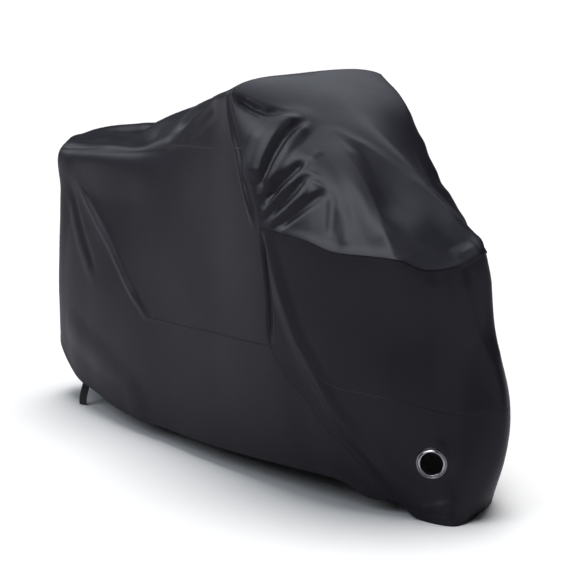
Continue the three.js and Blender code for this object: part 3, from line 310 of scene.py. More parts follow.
@dataclass
class Drape:
    """The whole surface of the cover, read by side, rib and level."""

    sections: tuple[Section, ...] = SECTIONS
    folds: tuple[Fold, ...] = FOLDS + CREASES
    probe: float = 0.03
    fade_share: float = 0.22
    fade_floor: float = 0.25
    waver: float = 0.0011

    def __post_init__(self) -> None:
        """Work out the slopes and spacings of the sections and the fold lines."""
        rows = [s.right for s in self.sections] + [s.left for s in reversed(self.sections) if s.left]
        self.loop = np.array(rows, float) * MM
        self.count = len(rows)
        step = np.roll(self.loop, -1, axis=0) - self.loop
        self.spacing = np.linalg.norm(step, axis=2).mean(axis=1)[:, None, None]
        before = np.roll(self.spacing, 1, axis=0)
        back, ahead = np.roll(step, 1, axis=0) / before, step / self.spacing
        turn = np.zeros((self.count, len(MIRROR_TURN), 1))
        turn[[int(MIRROR), -int(MIRROR)], :, 0] = MIRROR_TURN
        self.arriving, self.leaving = turned(slope(back, ahead, before, self.spacing), back, ahead, turn)
        self.top_points = np.array([s.top for s in self.sections], float) * MM
        leg = np.diff(self.top_points, axis=0)
        self.top_spacing = np.linalg.norm(leg, axis=1, keepdims=True)
        lean = leg / self.top_spacing
        middle = slope(lean[:-1], lean[1:], self.top_spacing[:-1], self.top_spacing[1:])
        self.top_slopes = np.vstack([lean[:1], middle, lean[-1:]])
        self.turns = np.array([s.turns for s in self.sections])
        self.lines = [self._line(fold) for fold in self.folds]

    def _line(self, fold: Fold) -> Array:
        """Return a fold's middle line on the plain drape."""
        route = np.array(fold.route, float)
        side = np.full(len(route), int(fold.side))
        return self.plain(side, route[:, 0], route[:, 1])

    def section(self, side: Array, rib: Array) -> Array:
        """Return the six level points of the sections at some ribs."""
        along = np.where(side < 0, rib, self.count - rib) % self.count
        i = np.floor(along).astype(int) % self.count
        ahead = (i + 1) % self.count
        s = (along - np.floor(along))[:, None, None]
        return curve(s, self.spacing[i], self.loop[i], self.loop[ahead],
                     self.leaving[i], self.arriving[ahead])

    def top_line(self, rib: Array) -> Array:
        """Return the points of the top line at some ribs."""
        i = np.minimum(np.floor(rib).astype(int), len(self.sections) - 2)
        s = (rib - i)[:, None]
        return curve(s, self.top_spacing[i], self.top_points[i], self.top_points[i + 1],
                     self.top_slopes[i], self.top_slopes[i + 1])

    def plain(self, side: Array, rib: Array, level: Array) -> Array:
        """Return points on the drape without its folds.

        Args:
            side: Sign of the side of each point.
            rib: Rib position of each point.
            level: Level of each point.

        Returns:
            One point a row, in metres.
        """
        points = np.concatenate([self.section(side, rib), self.top_line(rib)[:, None]], axis=1)
        opposite = self.section(-side, rib)[:, Level.BROW]
        ahead = np.concatenate([points[:, 1:], opposite[:, None]], axis=1) - points
        gap = np.linalg.norm(ahead, axis=2, keepdims=True) + 1e-6
        ahead = ahead / gap
        back = np.concatenate([ahead[:, :1], ahead[:, :-1]], axis=1)
        near = np.concatenate([gap[:, :1], gap[:, :-1]], axis=1)
        smooth = slope(back, ahead, near, gap)
        smooth[:, 0] = 2 * ahead[:, 0] - smooth[:, 1]
        turn = np.zeros(gap.shape)
        for j, turns in zip((Level.HOOD_EDGE, Level.SEAT_EDGE, Level.BROW), self.turns.T):
            turn[:, j, 0] = np.interp(rib, np.arange(len(turns)), turns)
        arriving, leaving = turned(smooth, back, ahead, turn)
        j = np.clip(np.floor(level).astype(int), 0, Level.TOP - 1)
        n = np.arange(len(j))
        s = (level - j)[:, None]
        return curve(s, gap[n, j], points[n, j], points[n, j + 1], leaving[n, j], arriving[n, j + 1])

    def settle(self, side: Array, rib: Array, level: Array) -> tuple[Array, Array, Array]:
        """Carry places past the middle lines over to the other side."""
        side, rib, level = side.copy(), rib.copy(), np.maximum(level, 0.0)
        for past, mend in ((rib < REAR_MIDDLE, lambda r: -r), (rib > NOSE, lambda r: 2 * NOSE - r)):
            side = np.where(past, -side, side)
            rib = np.where(past, mend(rib), rib)
        over = level > Level.TOP
        return np.where(over, -side, side), rib, np.where(over, 2 * Level.TOP - level, level)

    def outward(self, side: Array, rib: Array, level: Array) -> Array:
        """Return the outward directions of the plain drape."""
        def at(r: Array, v: Array) -> Array:
            """Return the plain points at nearby places."""
            return self.plain(*self.settle(side, r, v))

        along = at(rib + self.probe, level) - at(rib - self.probe, level)
        up = at(rib, level + self.probe) - at(rib, level - self.probe)
        return unit(np.cross(along, up) * -side[:, None])

    def fold_height(self, points: Array) -> Array:
        """Return how far the folds lift the cloth at some points, in metres."""
        total = np.zeros(len(points))
        for fold, line in zip(self.folds, self.lines):
            width = fold.width * MM
            near = np.all((points > line.min(0) - width) & (points < line.max(0) + width), axis=1)
            if not near.any():
                continue
            p = points[near]
            start, leg = line[:-1], np.diff(line, axis=0)
            offset = p[:, None] - start[None]
            s = np.clip((offset * leg).sum(2) / (leg * leg).sum(1), 0, 1)
            away = np.linalg.norm(offset - s[..., None] * leg, axis=2)
            k = away.argmin(axis=1)
            n = np.arange(len(p))
            x = np.minimum(away[n, k] / width, 1)
            along = (k + s[n, k]) / len(leg)
            fade = np.minimum(1, np.minimum(along, 1 - along) / self.fade_share + self.fade_floor)
            shape = (1 - x * x) ** 2 * (1 - fold.sharp) + (1 - x) ** 2 * fold.sharp
            total[near] += fold.height * MM * fade * shape
        return total

    def unevenness(self, points: Array) -> Array:
        """Return the slight waver of hanging cloth, in metres."""
        total = np.zeros(len(points))
        for share, pair in WAVERS:
            one, other = (np.sin(points @ np.array(run) + phase) for run, phase in pair)
            total += share * one * other
        return self.waver * total

    def cover(self, side: Array, rib: Array, level: Array, proud: Union[Array, float] = 0.0) -> Array:
        """Return points of the finished cloth in the frame of the solids.

        Args:
            side: Sign of the side of each point.
            rib: Rib position of each point.
            level: Level of each point.
            proud: Extra height out of the cloth, in metres.

        Returns:
            One point a row, in metres.
        """
        points = self.plain(side, rib, level)
        lift = self.fold_height(points) + self.unevenness(points) + proud
        return points + self.outward(side, rib, level) * lift[:, None] - FLOOR_CENTRE

    def spot(self, side: float, rib: float, level: float) -> Array:
        """Return one point of the finished cloth in the frame of the solids."""
        return self.cover(*(np.array([x], float) for x in (side, rib, level)))[0]


# Shader maths


Number = Union[float, "Term"]


@dataclass
class Term:
    """A value in a shader, which Python's operators extend."""

    graph: "Graph"
    socket: bpy.types.NodeSocket

    def _maths(self, operation: str, other: Number = 0.0, turned: bool = False) -> "Term":
        """Return a Math node on this value and another."""
        first, second = (other, self) if turned else (self, other)
        return self.graph.node("ShaderNodeMath", {0: first, 1: second}, operation=operation)

    def __add__(self, other: Number) -> "Term":
        """Return the sum."""
        return self._maths("ADD", other)

    __radd__ = __add__

    def __sub__(self, other: Number) -> "Term":
        """Return the difference."""
        return self._maths("SUBTRACT", other)

    def __rsub__(self, other: Number) -> "Term":
        """Return the difference from a number."""
        return self._maths("SUBTRACT", other, turned=True)

    def __mul__(self, other: Number) -> "Term":
        """Return the product."""
        return self._maths("MULTIPLY", other)

    def __truediv__(self, other: Number) -> "Term":
        """Return the quotient."""
        return self._maths("DIVIDE", other)

    def wave(self, pitch: float) -> "Term":
        """Return a sine wave that repeats over a pitch."""
        return (self * (TAU / pitch))._maths("SINE")

    def size(self) -> "Term":
        """Return the value without its sign."""
        return self._maths("ABSOLUTE")

    def ramp(self, low: float, high: float) -> "Term":
        """Return the value's smooth rise from 0 at low to 1 at high."""
        values = {"Value": self, "From Min": low, "From Max": high}
        return self.graph.node("ShaderNodeMapRange", values, interpolation_type="SMOOTHSTEP", clamp=True)


class Graph:
    """The node tree of one material."""

    def __init__(self, name: str) -> None:
        """Start a material with an empty tree.

        Args:
            name: The material's name.
        """
        self.material = bpy.data.materials.new(name)
        self.material.use_nodes = True
        self.tree = self.material.node_tree
        self.tree.nodes.clear()

    def node(self, kind: str, values: Optional[dict[Union[str, int], object]] = None,
             output: Union[str, int] = 0, **settings: object) -> Term:
        """Add a node.

        Args:
            kind: The node's type.
            values: Numbers, colours or links for its sockets.
            output: The output that is handed back.
            settings: Properties set first.

        Returns:
            The output as a value.
        """
        made = self.tree.nodes.new(kind)
        for name, value in settings.items():
            setattr(made, name, value)
        for name, value in (values or {}).items():
            socket = made.inputs[name]
            if isinstance(value, Term):
                self.tree.links.new(value.socket, socket)
            else:
                socket.default_value = (*value, 1) if socket.type == "RGBA" else value
        return Term(self, made.outputs[output])

    def place(self) -> Term:
        """Return the place on the piece, in metres."""
        return self.node("ShaderNodeTexCoord", output="Object")

    def part(self, mapped: Term, axis: str) -> Term:
        """Return one part of a place, by its axis."""
        return self.node("ShaderNodeSeparateXYZ", {0: mapped}, axis)

    def uv(self, name: str) -> tuple[Term, Term]:
        """Return the two parts of one of the piece's own maps."""
        mapped = self.node("ShaderNodeUVMap", uv_map=name)
        return self.part(mapped, "X"), self.part(mapped, "Y")

    def noise(self, scale: float, detail: float = 2.0, roughness: float = 0.5) -> Term:
        """Return a soft random value by place."""
        values = {"Vector": self.place(), "Scale": scale, "Detail": detail, "Roughness": roughness}
        return self.node("ShaderNodeTexNoise", values)

    def blend(self, share: Number, first: object, second: object) -> Term:
        """Return a colour between two colours."""
        return self.node("ShaderNodeMix", {0: share, 6: first, 7: second}, 2, data_type="RGBA")

    def bump(self, height: Term) -> Term:
        """Return the normal that a height in metres gives."""
        return self.node("ShaderNodeBump", {"Strength": 1.0, "Distance": 1.0, "Height": height})

    def finish(self, values: dict[str, object]) -> bpy.types.Material:
        """Close the tree with its surface shader and return the material."""
        surface = self.node("ShaderNodeBsdfPrincipled", values)
        out = self.tree.nodes.new("ShaderNodeOutputMaterial")
        self.tree.links.new(surface.socket, out.inputs["Surface"])
        return self.material


@dataclass(frozen=True)
class CoatedCloth:
    """Smooth coated polyester, near black, with stitched seams."""

    name: str = "coated_cloth"
    tone: Colour = (0.0082, 0.0072, 0.0122)
    pale_tone: Colour = (0.0105, 0.0094, 0.0152)
    dust: Colour = (0.05, 0.049, 0.05)
    dust_top: float = 0.16
    dust_share: float = 0.35
    dust_dulls: float = 0.12
    roughness: float = 0.4
    roughness_spread: float = 0.1
    specular: float = 0.45
    sheen: float = 0.02
    sheen_tint: Colour = (0.78, 0.8, 0.9)
    weave_pitch: float = 0.0008
    weave_depth: float = 0.000007
    crinkles: tuple[tuple[float, float, float], ...] = ((26, 3.0, 0.0006), (90, 2.0, 0.00008))
    stitch_pitch: float = 0.0036
    stitch_width: float = 0.0007
    stitch_height: float = 0.0003
    stitch_sink: float = 0.65
    stitch_rows: tuple[float, float] = (0.0035, 0.0105)

    def material(self) -> bpy.types.Material:
        """Return the cloth's material."""
        g = Graph(self.name)
        across, up = g.uv("cloth")
        along, away = g.uv("seam")
        height = across.wave(self.weave_pitch) * up.wave(self.weave_pitch) * self.weave_depth
        for scale, detail, depth in self.crinkles:
            height += g.noise(scale, detail) * depth
        loop = (along.wave(self.stitch_pitch) + 0.35).ramp(0.0, 0.5) - self.stitch_sink
        for row in self.stitch_rows:
            beside = 1 - ((away - row).size() / self.stitch_width).ramp(0.4, 1.0)
            height += beside * loop * self.stitch_height
        patches = g.noise(3.2, 3.0, 0.6).ramp(0.35, 0.7)
        base = g.blend(patches, self.tone, self.pale_tone)
        low = (1 - g.part(g.place(), "Z").ramp(0.0, self.dust_top)) * g.noise(14, 4.0, 0.6).ramp(0.42, 0.75)
        base = g.blend(low * self.dust_share, base, self.dust)
        rough = self.roughness + (g.noise(5, 4.0, 0.6) - 0.5) * self.roughness_spread + low * self.dust_dulls
        return g.finish({
            "Base Color": base, "Roughness": rough, "Normal": g.bump(height),
            "Specular IOR Level": self.specular, "Sheen Weight": self.sheen, "Sheen Roughness": 0.4,
            "Sheen Tint": self.sheen_tint,
        })


@dataclass(frozen=True)
class DarkSteel:
    """Polished dark metal of the eyelets, dulled where it is handled, with a painted highlight on its raised
    crown.
    """

    name: str = "eyelet_steel"
    tone: Colour = (0.06, 0.06, 0.063)
    # Painted highlight: between the two heights above the cloth given below, the colour turns to the pale
    # crown colour, which stands in for reflected light on the ring's crown
    crown_painted_highlight: Colour = (0.6, 0.6, 0.61)
    painted_highlight_heights: tuple[float, float] = (0.0014, 0.0026)
    worn: Colour = (0.42, 0.42, 0.43)
    worn_share: float = 0.5
    roughness: float = 0.09
    roughness_spread: float = 0.1
    pitting: float = 0.000006

    def material(self) -> bpy.types.Material:
        """Return the metal's material, with a painted highlight on its crown, which the ring map finds."""
        g = Graph(self.name)
        smears = g.noise(60, 4.0, 0.65)
        worn = g.noise(210, 3.0, 0.6).ramp(0.6, 0.75)
        plain = g.blend(worn * self.worn_share, self.tone, self.worn)
        # Painted highlight: the pale crown colour is blended in by height above the cloth
        _, stand = g.uv("ring")
        return g.finish({
            "Base Color": g.blend(stand.ramp(*self.painted_highlight_heights), plain, self.crown_painted_highlight), "Metallic": 1.0,
            "Roughness": self.roughness + smears * self.roughness_spread,
            "Normal": g.bump(g.noise(900, 2.0) * self.pitting),
        })


@dataclass(frozen=True)
class Webbing:
    """Black woven webbing with ribs across it."""

    name: str = "strap_webbing"
    tone: Colour = (0.008, 0.008, 0.009)
    pale: Colour = (0.02, 0.02, 0.022)
    rib_pitch: float = 0.0018
    rib_depth: float = 0.00012
    fluff_depth: float = 0.00005
    roughness: float = 0.75
    roughness_spread: float = 0.15
    sheen: float = 0.2

    def material(self) -> bpy.types.Material:
        """Return the webbing's material."""
        g = Graph(self.name)
        across, up = g.uv("cloth")
        ribs = up.wave(self.rib_pitch) * across.wave(2 * self.rib_pitch)
        height = ribs * self.rib_depth + g.noise(700, 2.0) * self.fluff_depth
        fluff = g.noise(160, 4.0).ramp(0.45, 0.75)
        return g.finish({
            "Base Color": g.blend(fluff, self.tone, self.pale),
            "Roughness": self.roughness + fluff * self.roughness_spread, "Normal": g.bump(height),
            "Sheen Weight": self.sheen,
        })


# Meshes and objects


def length_along(points: Array, axis: int) -> Array:
    """Return the length run along one axis of a grid of points."""
    steps = np.linalg.norm(np.diff(points, axis=axis), axis=-1)
    return np.insert(np.cumsum(steps, axis=axis), 0, 0.0, axis=axis)


def grid_quads(index: Array) -> Array:
    """Return four point numbers for each quad of a grid of them."""
    around = [index[:-1, :-1], index[:-1, 1:], index[1:, 1:], index[1:, :-1]]
    return np.stack(around, axis=2).reshape(-1, 4)


def mapped_mesh(name: str, points: Array, quads: Array, maps: dict[str, Array]) -> bpy.types.Mesh:
    """Return a mesh of quads.

    Args:
        name: The mesh's name.
        points: Its points, one a row.
        quads: Four point numbers a row.
        maps: Each map's places, one for each point.

    Returns:
        The mesh with its maps.
    """
    mesh = bpy.data.meshes.new(name)
    mesh.from_pydata(points.tolist(), [], quads.tolist())
    for title, places in maps.items():
        layer = mesh.uv_layers.new(name=title)
        layer.data.foreach_set("uv", places[quads.ravel()].ravel().astype(np.float32))
    return mesh


def placed(name: str, data: bpy.types.ID) -> bpy.types.Object:
    """Return a new object of some data, put in the scene."""
    made = bpy.data.objects.new(name, data)
    bpy.context.scene.collection.objects.link(made)
    return made


def thickened(name: str, mesh: bpy.types.Mesh, material: bpy.types.Material,
              thickness: float, offset: float) -> bpy.types.Object:
    """Return a smooth sheet of a mesh, with its finish and thickness."""
    mesh.shade_smooth()
    mesh.materials.append(material)
    piece = placed(name, mesh)
    solid = piece.modifiers.new("thickness", "SOLIDIFY")
    solid.thickness, solid.offset = thickness, offset
    return piece


# Cloth pieces


class Border(Enum):
    """Borders of a patch: height of their relief, its distance inwards and width, in millimetres."""

    OPEN = (0, 0, 1)
    SEAM = (-0.6, 0, 1.4)
    PRESSED = (-0.18, 0, 1.4)
    PROUD = (3, 3.4, 3.4)
    LAP = (4.2, 0, 20)
    HEM = (1.2, 24, 2)


Ribs = Callable[[Array], Array]
# Distance in metres that stands for no border near
FAR = 9.0


def even(start: Array, stop: Array, count: int, crowd: float = 0.8) -> Array:
    """Return stations between two lines, closer together near both.

    Args:
        start: Where the stations begin, one for each level.
        stop: Where they end, one for each level.
        count: How many spaces there are.
        crowd: Share of the crowding towards both ends.

    Returns:
        A row of stations for each level.
    """
    t = np.linspace(0, 1, count + 1)
    t = (1 - crowd) * t + crowd * (1 - np.cos(math.pi * t)) / 2
    start, stop = np.atleast_1d(start)[:, None], np.atleast_1d(stop)[:, None]
    return start + (stop - start) * t


@dataclass
class Patch:
    """A block of cloth between two ribs and two levels."""

    side: Side
    levels: tuple[float, float]
    ribs: tuple[Ribs, Ribs]
    rows: int
    columns: int
    low: Border = Border.OPEN
    high: Border = Border.OPEN
    back: Border = Border.OPEN
    front: Border = Border.OPEN

    def grid(self) -> tuple[Array, Array, Array]:
        """Return side, rib and level of every corner, row by row."""
        level = even(np.array([self.levels[0]]), np.array([self.levels[1]]), self.rows)[0]
        start, stop = (line(level) for line in self.ribs)
        rib = even(start, stop, self.columns)
        return np.full(rib.shape, int(self.side)), rib, np.repeat(level[:, None], rib.shape[1], axis=1)


def edge(line: dict[float, float]) -> Ribs:
    """Return an edge that follows a line of ribs by level, and stays put past its ends."""
    return lambda level: np.interp(level, list(line.keys()), list(line.values()))


def fixed(rib: float) -> Ribs:
    """Return an edge that stays on one rib."""
    return edge({Level.HEM: rib})


@dataclass
class ClothPanel:
    """One panel of the cover, made of patches that share their borders."""

    name: str
    node: str
    patches: tuple[Patch, ...]
    flat: tuple[float, float]
    area: float
    thickness: float = 0.0012
    weld: float = 2e-5

    def _relief(self, patch: Patch, across: Array, up: Array) -> tuple[Array, Array, Array]:
        """Return the height that seams and hem add, and the seam map."""
        borders = (
            (patch.low, up, across), (patch.high, up[-1:] - up, across),
            (patch.back, across, up), (patch.front, across[:, -1:] - across, up),
        )
        away, along = np.full(across.shape, FAR), np.zeros(across.shape)
        lift = np.zeros(across.shape)
        for kind, distance, run in borders:
            if kind is Border.OPEN:
                continue
            nearer = distance < away
            away, along = np.where(nearer, distance, away), np.where(nearer, run, along)
            height, middle, width = (x * MM for x in kind.value)
            if kind is Border.HEM:
                lift += height * np.clip((middle - distance) / width, 0, 1)
            else:
                lift += height * np.exp(-(((distance - middle) / width) ** 2))
        return lift, along, away

    def mesh(self, drape: Drape) -> bpy.types.Mesh:
        """Return the panel's outer face with its maps."""
        points, faces, cloth_uv, seam_uv = [], [], [], []
        start = 0
        for patch in self.patches:
            side, rib, level = patch.grid()
            shape = rib.shape
            flat = [a.ravel() for a in (side, rib, level)]
            plain = drape.plain(*flat).reshape(*shape, 3)
            across, up = length_along(plain, 1), length_along(plain, 0)
            lift, along, away = self._relief(patch, across, up)
            points.append(drape.cover(*flat, proud=lift.ravel()))
            index = start + np.arange(rib.size).reshape(shape)
            quads = grid_quads(index)
            if patch.side is Side.LEFT:
                quads = quads[:, ::-1]
            faces.append(quads)
            cloth_uv.append(np.stack([across.ravel() * int(patch.side) * -1, up.ravel()], axis=1))
            seam_uv.append(np.stack([along.ravel(), away.ravel()], axis=1))
            start += rib.size
        maps = {"cloth": np.concatenate(cloth_uv), "seam": np.concatenate(seam_uv)}
        mesh = mapped_mesh(self.name, np.concatenate(points), np.concatenate(faces), maps)
        work = bmesh.new()
        work.from_mesh(mesh)
        bmesh.ops.remove_doubles(work, verts=work.verts, dist=self.weld)
        self.trim(work, drape)
        work.to_mesh(mesh)
        work.free()
        return mesh

    def trim(self, work: bmesh.types.BMesh, drape: Drape) -> None:
        """Leave the panel whole; kinds of panel that something passes through cut it here."""

    def build(self, drape: Drape, material: bpy.types.Material) -> bpy.types.Object:
        """Args:
            drape: The surface that it lies on.
            material: Its finish.

        Returns:
            The panel's object.
        """
        piece = thickened(self.name, self.mesh(drape), material, self.thickness, -1.0)
        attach(piece, ROOT)
        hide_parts(self.node)
        log.info("%s: %d faces", self.name, len(piece.data.polygons))
        return piece


@dataclass
class EyeletSeat:
    """Flat place that an eyelet is pressed into."""

    side: Side
    drape: Drape
    rib: float = 13.25
    level: float = 0.53
    flat_radius: float = 0.058
    blend_radius: float = 0.082
    cloth_hole: float = 0.0425

    def __post_init__(self) -> None:
        """Work out the place and directions of the eyelet."""
        spot, probe = self.drape.spot, self.drape.probe
        side, rib, level = self.side, self.rib, self.level
        along = spot(side, rib + probe, level) - spot(side, rib - probe, level)
        up = spot(side, rib, level + probe) - spot(side, rib, level - probe)
        self.centre = spot(side, rib, level)
        self.out = unit(np.cross(along, up) * -int(self.side))
        self.across = unit(np.cross((0, 0, 1), self.out))


@dataclass
class WheelSkirt(ClothPanel):
    """Skirt round the front wheel, with a hole for its eyelet."""

    seat: Optional[EyeletSeat] = None

    def trim(self, work: bmesh.types.BMesh, drape: Drape) -> None:
        """Flatten the cloth round the eyelet and cut its hole."""
        seat = self.seat
        out, centre = Vector(seat.out), Vector(seat.centre)
        reach: dict[bmesh.types.BMVert, float] = {}
        for vert in work.verts:
            offset = vert.co - centre
            height = offset.dot(out)
            flat = offset - out * height
            if flat.length > seat.blend_radius or abs(height) > seat.blend_radius:
                continue
            share = (seat.blend_radius - flat.length) / (seat.blend_radius - seat.flat_radius)
            share = min(max(share, 0.0), 1.0)
            vert.co -= out * height * share * share * (3 - 2 * share)
            reach[vert] = flat.length
        faces = {face for vert in reach for face in vert.link_faces}
        inside = [face for face in faces if (face.calc_center_median() - centre).length < seat.cloth_hole]
        bmesh.ops.delete(work, geom=inside, context="FACES")
        for vert in reach:
            if vert.is_valid and vert.is_boundary:
                vert.co = centre + (vert.co - centre).normalized() * seat.cloth_hole


@dataclass
class Strap:
    """Webbing strap that hangs free from the rear hem.

    Each row of its path is a drop below the hem, a sway along it, a way outwards, in
    millimetres, and a turn of its width in degrees.
    """

    drape: Drape
    rib: float = 3.45
    probe: float = 0.1
    probe_up: float = 0.12
    width: float = 0.03
    thickness: float = 0.0018
    inside: float = 0.0022
    steps: int = 60
    lanes: int = 8
    path: tuple[tuple[float, float, float, float], ...] = (
        (-40, 0, 0, 0), (-20, 0, -4, 14), (2, -1, -9, 36),
        (30, -9, -6, 44), (60, -13, 0, 42), (88, -8, 4, 36),
    )

    def build(self, material: bpy.types.Material) -> bpy.types.Object:
        spot, side, rib = self.drape.spot, Side.RIGHT, self.rib
        low = spot(side, rib, Level.HEM)
        across = unit(spot(side, rib + self.probe, Level.HEM) - spot(side, rib - self.probe, Level.HEM))
        up = unit(spot(side, rib, self.probe_up) - low)
        flat = unit(np.cross(across, up))
        stops = np.zeros((len(self.path), 3))
        for stop, (drop, sway, outwards, _) in zip(stops, self.path):
            hung = up * -drop * MM if drop < 0 else np.array([0, 0, -drop * MM])
            set_out = outwards * MM - self.inside - self.thickness
            stop[:] = low + hung + across * sway * MM + flat * set_out
        t = np.linspace(0, len(stops) - 1, self.steps + 1)
        i = np.minimum(np.floor(t).astype(int), len(stops) - 2)
        slopes = np.gradient(stops, axis=0)
        middle = curve((t - i)[:, None], 1.0, stops[i], stops[i + 1], slopes[i], slopes[i + 1])
        turn = np.radians(np.interp(t, np.arange(len(stops)), [row[3] for row in self.path]))[:, None]
        spread = across * np.cos(turn) - flat * np.sin(turn)
        lane = np.linspace(-0.5, 0.5, self.lanes + 1)
        points = middle[:, None] + spread[:, None] * (lane[None, :, None] * self.width)
        index = np.arange(points[..., 0].size).reshape(points.shape[:2])
        length = length_along(middle, 0)
        uv = np.stack(np.broadcast_arrays(lane * self.width, length[:, None]), axis=2)
        mesh = mapped_mesh("rear_strap_webbing", points.reshape(-1, 3), grid_quads(index.T),
                           {"cloth": uv.reshape(-1, 2)})
        piece = thickened("rear_strap_webbing", mesh, material, self.thickness, 1.0)
        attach(piece, ROOT)
        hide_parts("rear_strap")
        log.info("rear strap: %.0f mm long", length[-1] / MM)
        return piece


@dataclass
class Eyelet:
    """Pressed metal eyelet: a domed flange each side of a barrel.

    Its section runs from the back of the rim over the front, as radius and height
    above the cloth in millimetres.
    """

    name: str
    node: str
    seat: EyeletSeat
    section: tuple[tuple[float, float], ...] = (
        (50, -2.1), (50, 0.8), (48.4, 1.6), (44.7, 2.2), (43.1, 1.2), (41.5, 2.5), (39.3, 3.6),
        (36.2, 2.8), (35, -0.2), (35, -1.2), (36.4, -4), (42.5, -4.6), (48.6, -3.6),
    )
    steps: int = 96
    weld: float = 1e-5
    edge: float = 0.0005
    smooth_angle: float = math.radians(50)

    def build(self, material: bpy.types.Material) -> bpy.types.Object:
        seat = self.seat
        centre, out = Vector(seat.centre), Vector(seat.out)
        bpy.ops.object.select_all(action="DESELECT")
        bpy.ops.mesh.primitive_circle_add(vertices=len(self.section), radius=0.01)
        piece = bpy.context.object
        piece.name = piece.data.name = self.name
        for vert, (radius, height) in zip(piece.data.vertices, self.section):
            place = seat.centre + (seat.across * radius + seat.out * height) * MM
            vert.co = Vector(place) - piece.location
        bpy.ops.object.mode_set(mode="EDIT")
        bpy.ops.mesh.select_all(action="SELECT")
        bpy.ops.mesh.spin(steps=self.steps, angle=TAU, center=centre, axis=out)
        bpy.ops.mesh.select_all(action="SELECT")
        bpy.ops.mesh.remove_doubles(threshold=self.weld)
        bpy.ops.mesh.normals_make_consistent(inside=False)
        bpy.ops.object.mode_set(mode="OBJECT")
        bevel = piece.modifiers.new("edges", "BEVEL")
        bevel.width, bevel.segments, bevel.limit_method = self.edge, 3, "ANGLE"
        bpy.ops.object.modifier_apply(modifier=bevel.name)
        bpy.ops.object.shade_smooth_by_angle(angle=self.smooth_angle)
        layer = piece.data.uv_layers.new(name="ring")
        for loop in piece.data.loops:
            offset = piece.data.vertices[loop.vertex_index].co + piece.location - centre
            layer.data[loop.index].uv = (offset.length, offset.dot(out))
        piece.data.materials.append(material)
        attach(piece, ROOT)
        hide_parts(self.node)
        log.info("%s: %d faces", self.name, len(piece.data.polygons))
        return piece


# Room and camera


@dataclass(frozen=True)
class Lamp:
    """One soft square light: place, aim, side in metres and power in watts."""

    name: str
    place: Point
    aim: Point
    size: float
    power: float
    shine: bool = True


# Lamps that shine are seen in glossy surfaces alone, and the last one lights matt ones
LAMPS = (
    Lamp("left_high", (-1.4, 2.45, 3.8), (0.25, 0, 1.28), 2.8, 25),
    Lamp("rear_high", (-5.5, -2.1, 5.2), (0, 0, 1.0), 4.6, 130),
    Lamp("ceiling", (1.6, 0, 9.0), (0.5, 0, 1.0), 7.0, 45),
    Lamp("rear_ceiling", (-1.8, 0.4, 8.4), (0.1, 0, 1.2), 5.0, 110),
    Lamp("near_high", (0.43, -3.65, 4.5), (0.3, 0, 1.0), 4.0, 150),
    Lamp("rear_wall", (-4.4, -3.4, 1.8), (-0.4, 0, 0.6), 5.0, 11),
    Lamp("near_wall", (2.55, -4.25, 4.5), (0.2, -0.3, 1.1), 2.4, 30),
    Lamp("rear_near", (-2.45, -2.55, 4.2), (0.15, -0.3, 1.15), 1.8, 24),
    Lamp("front_wall", (5.4, -0.2, 1.9), (0.8, 0, 0.6), 4.6, 20),
    Lamp("front_high", (5.5, 0.9, 5.9), (0.6, 0, 0.9), 5.0, 38),
    Lamp("near_fill", (-1.5, -6.0, 6.0), (0, 0, 0.5), 6.0, 200, shine=False),
)


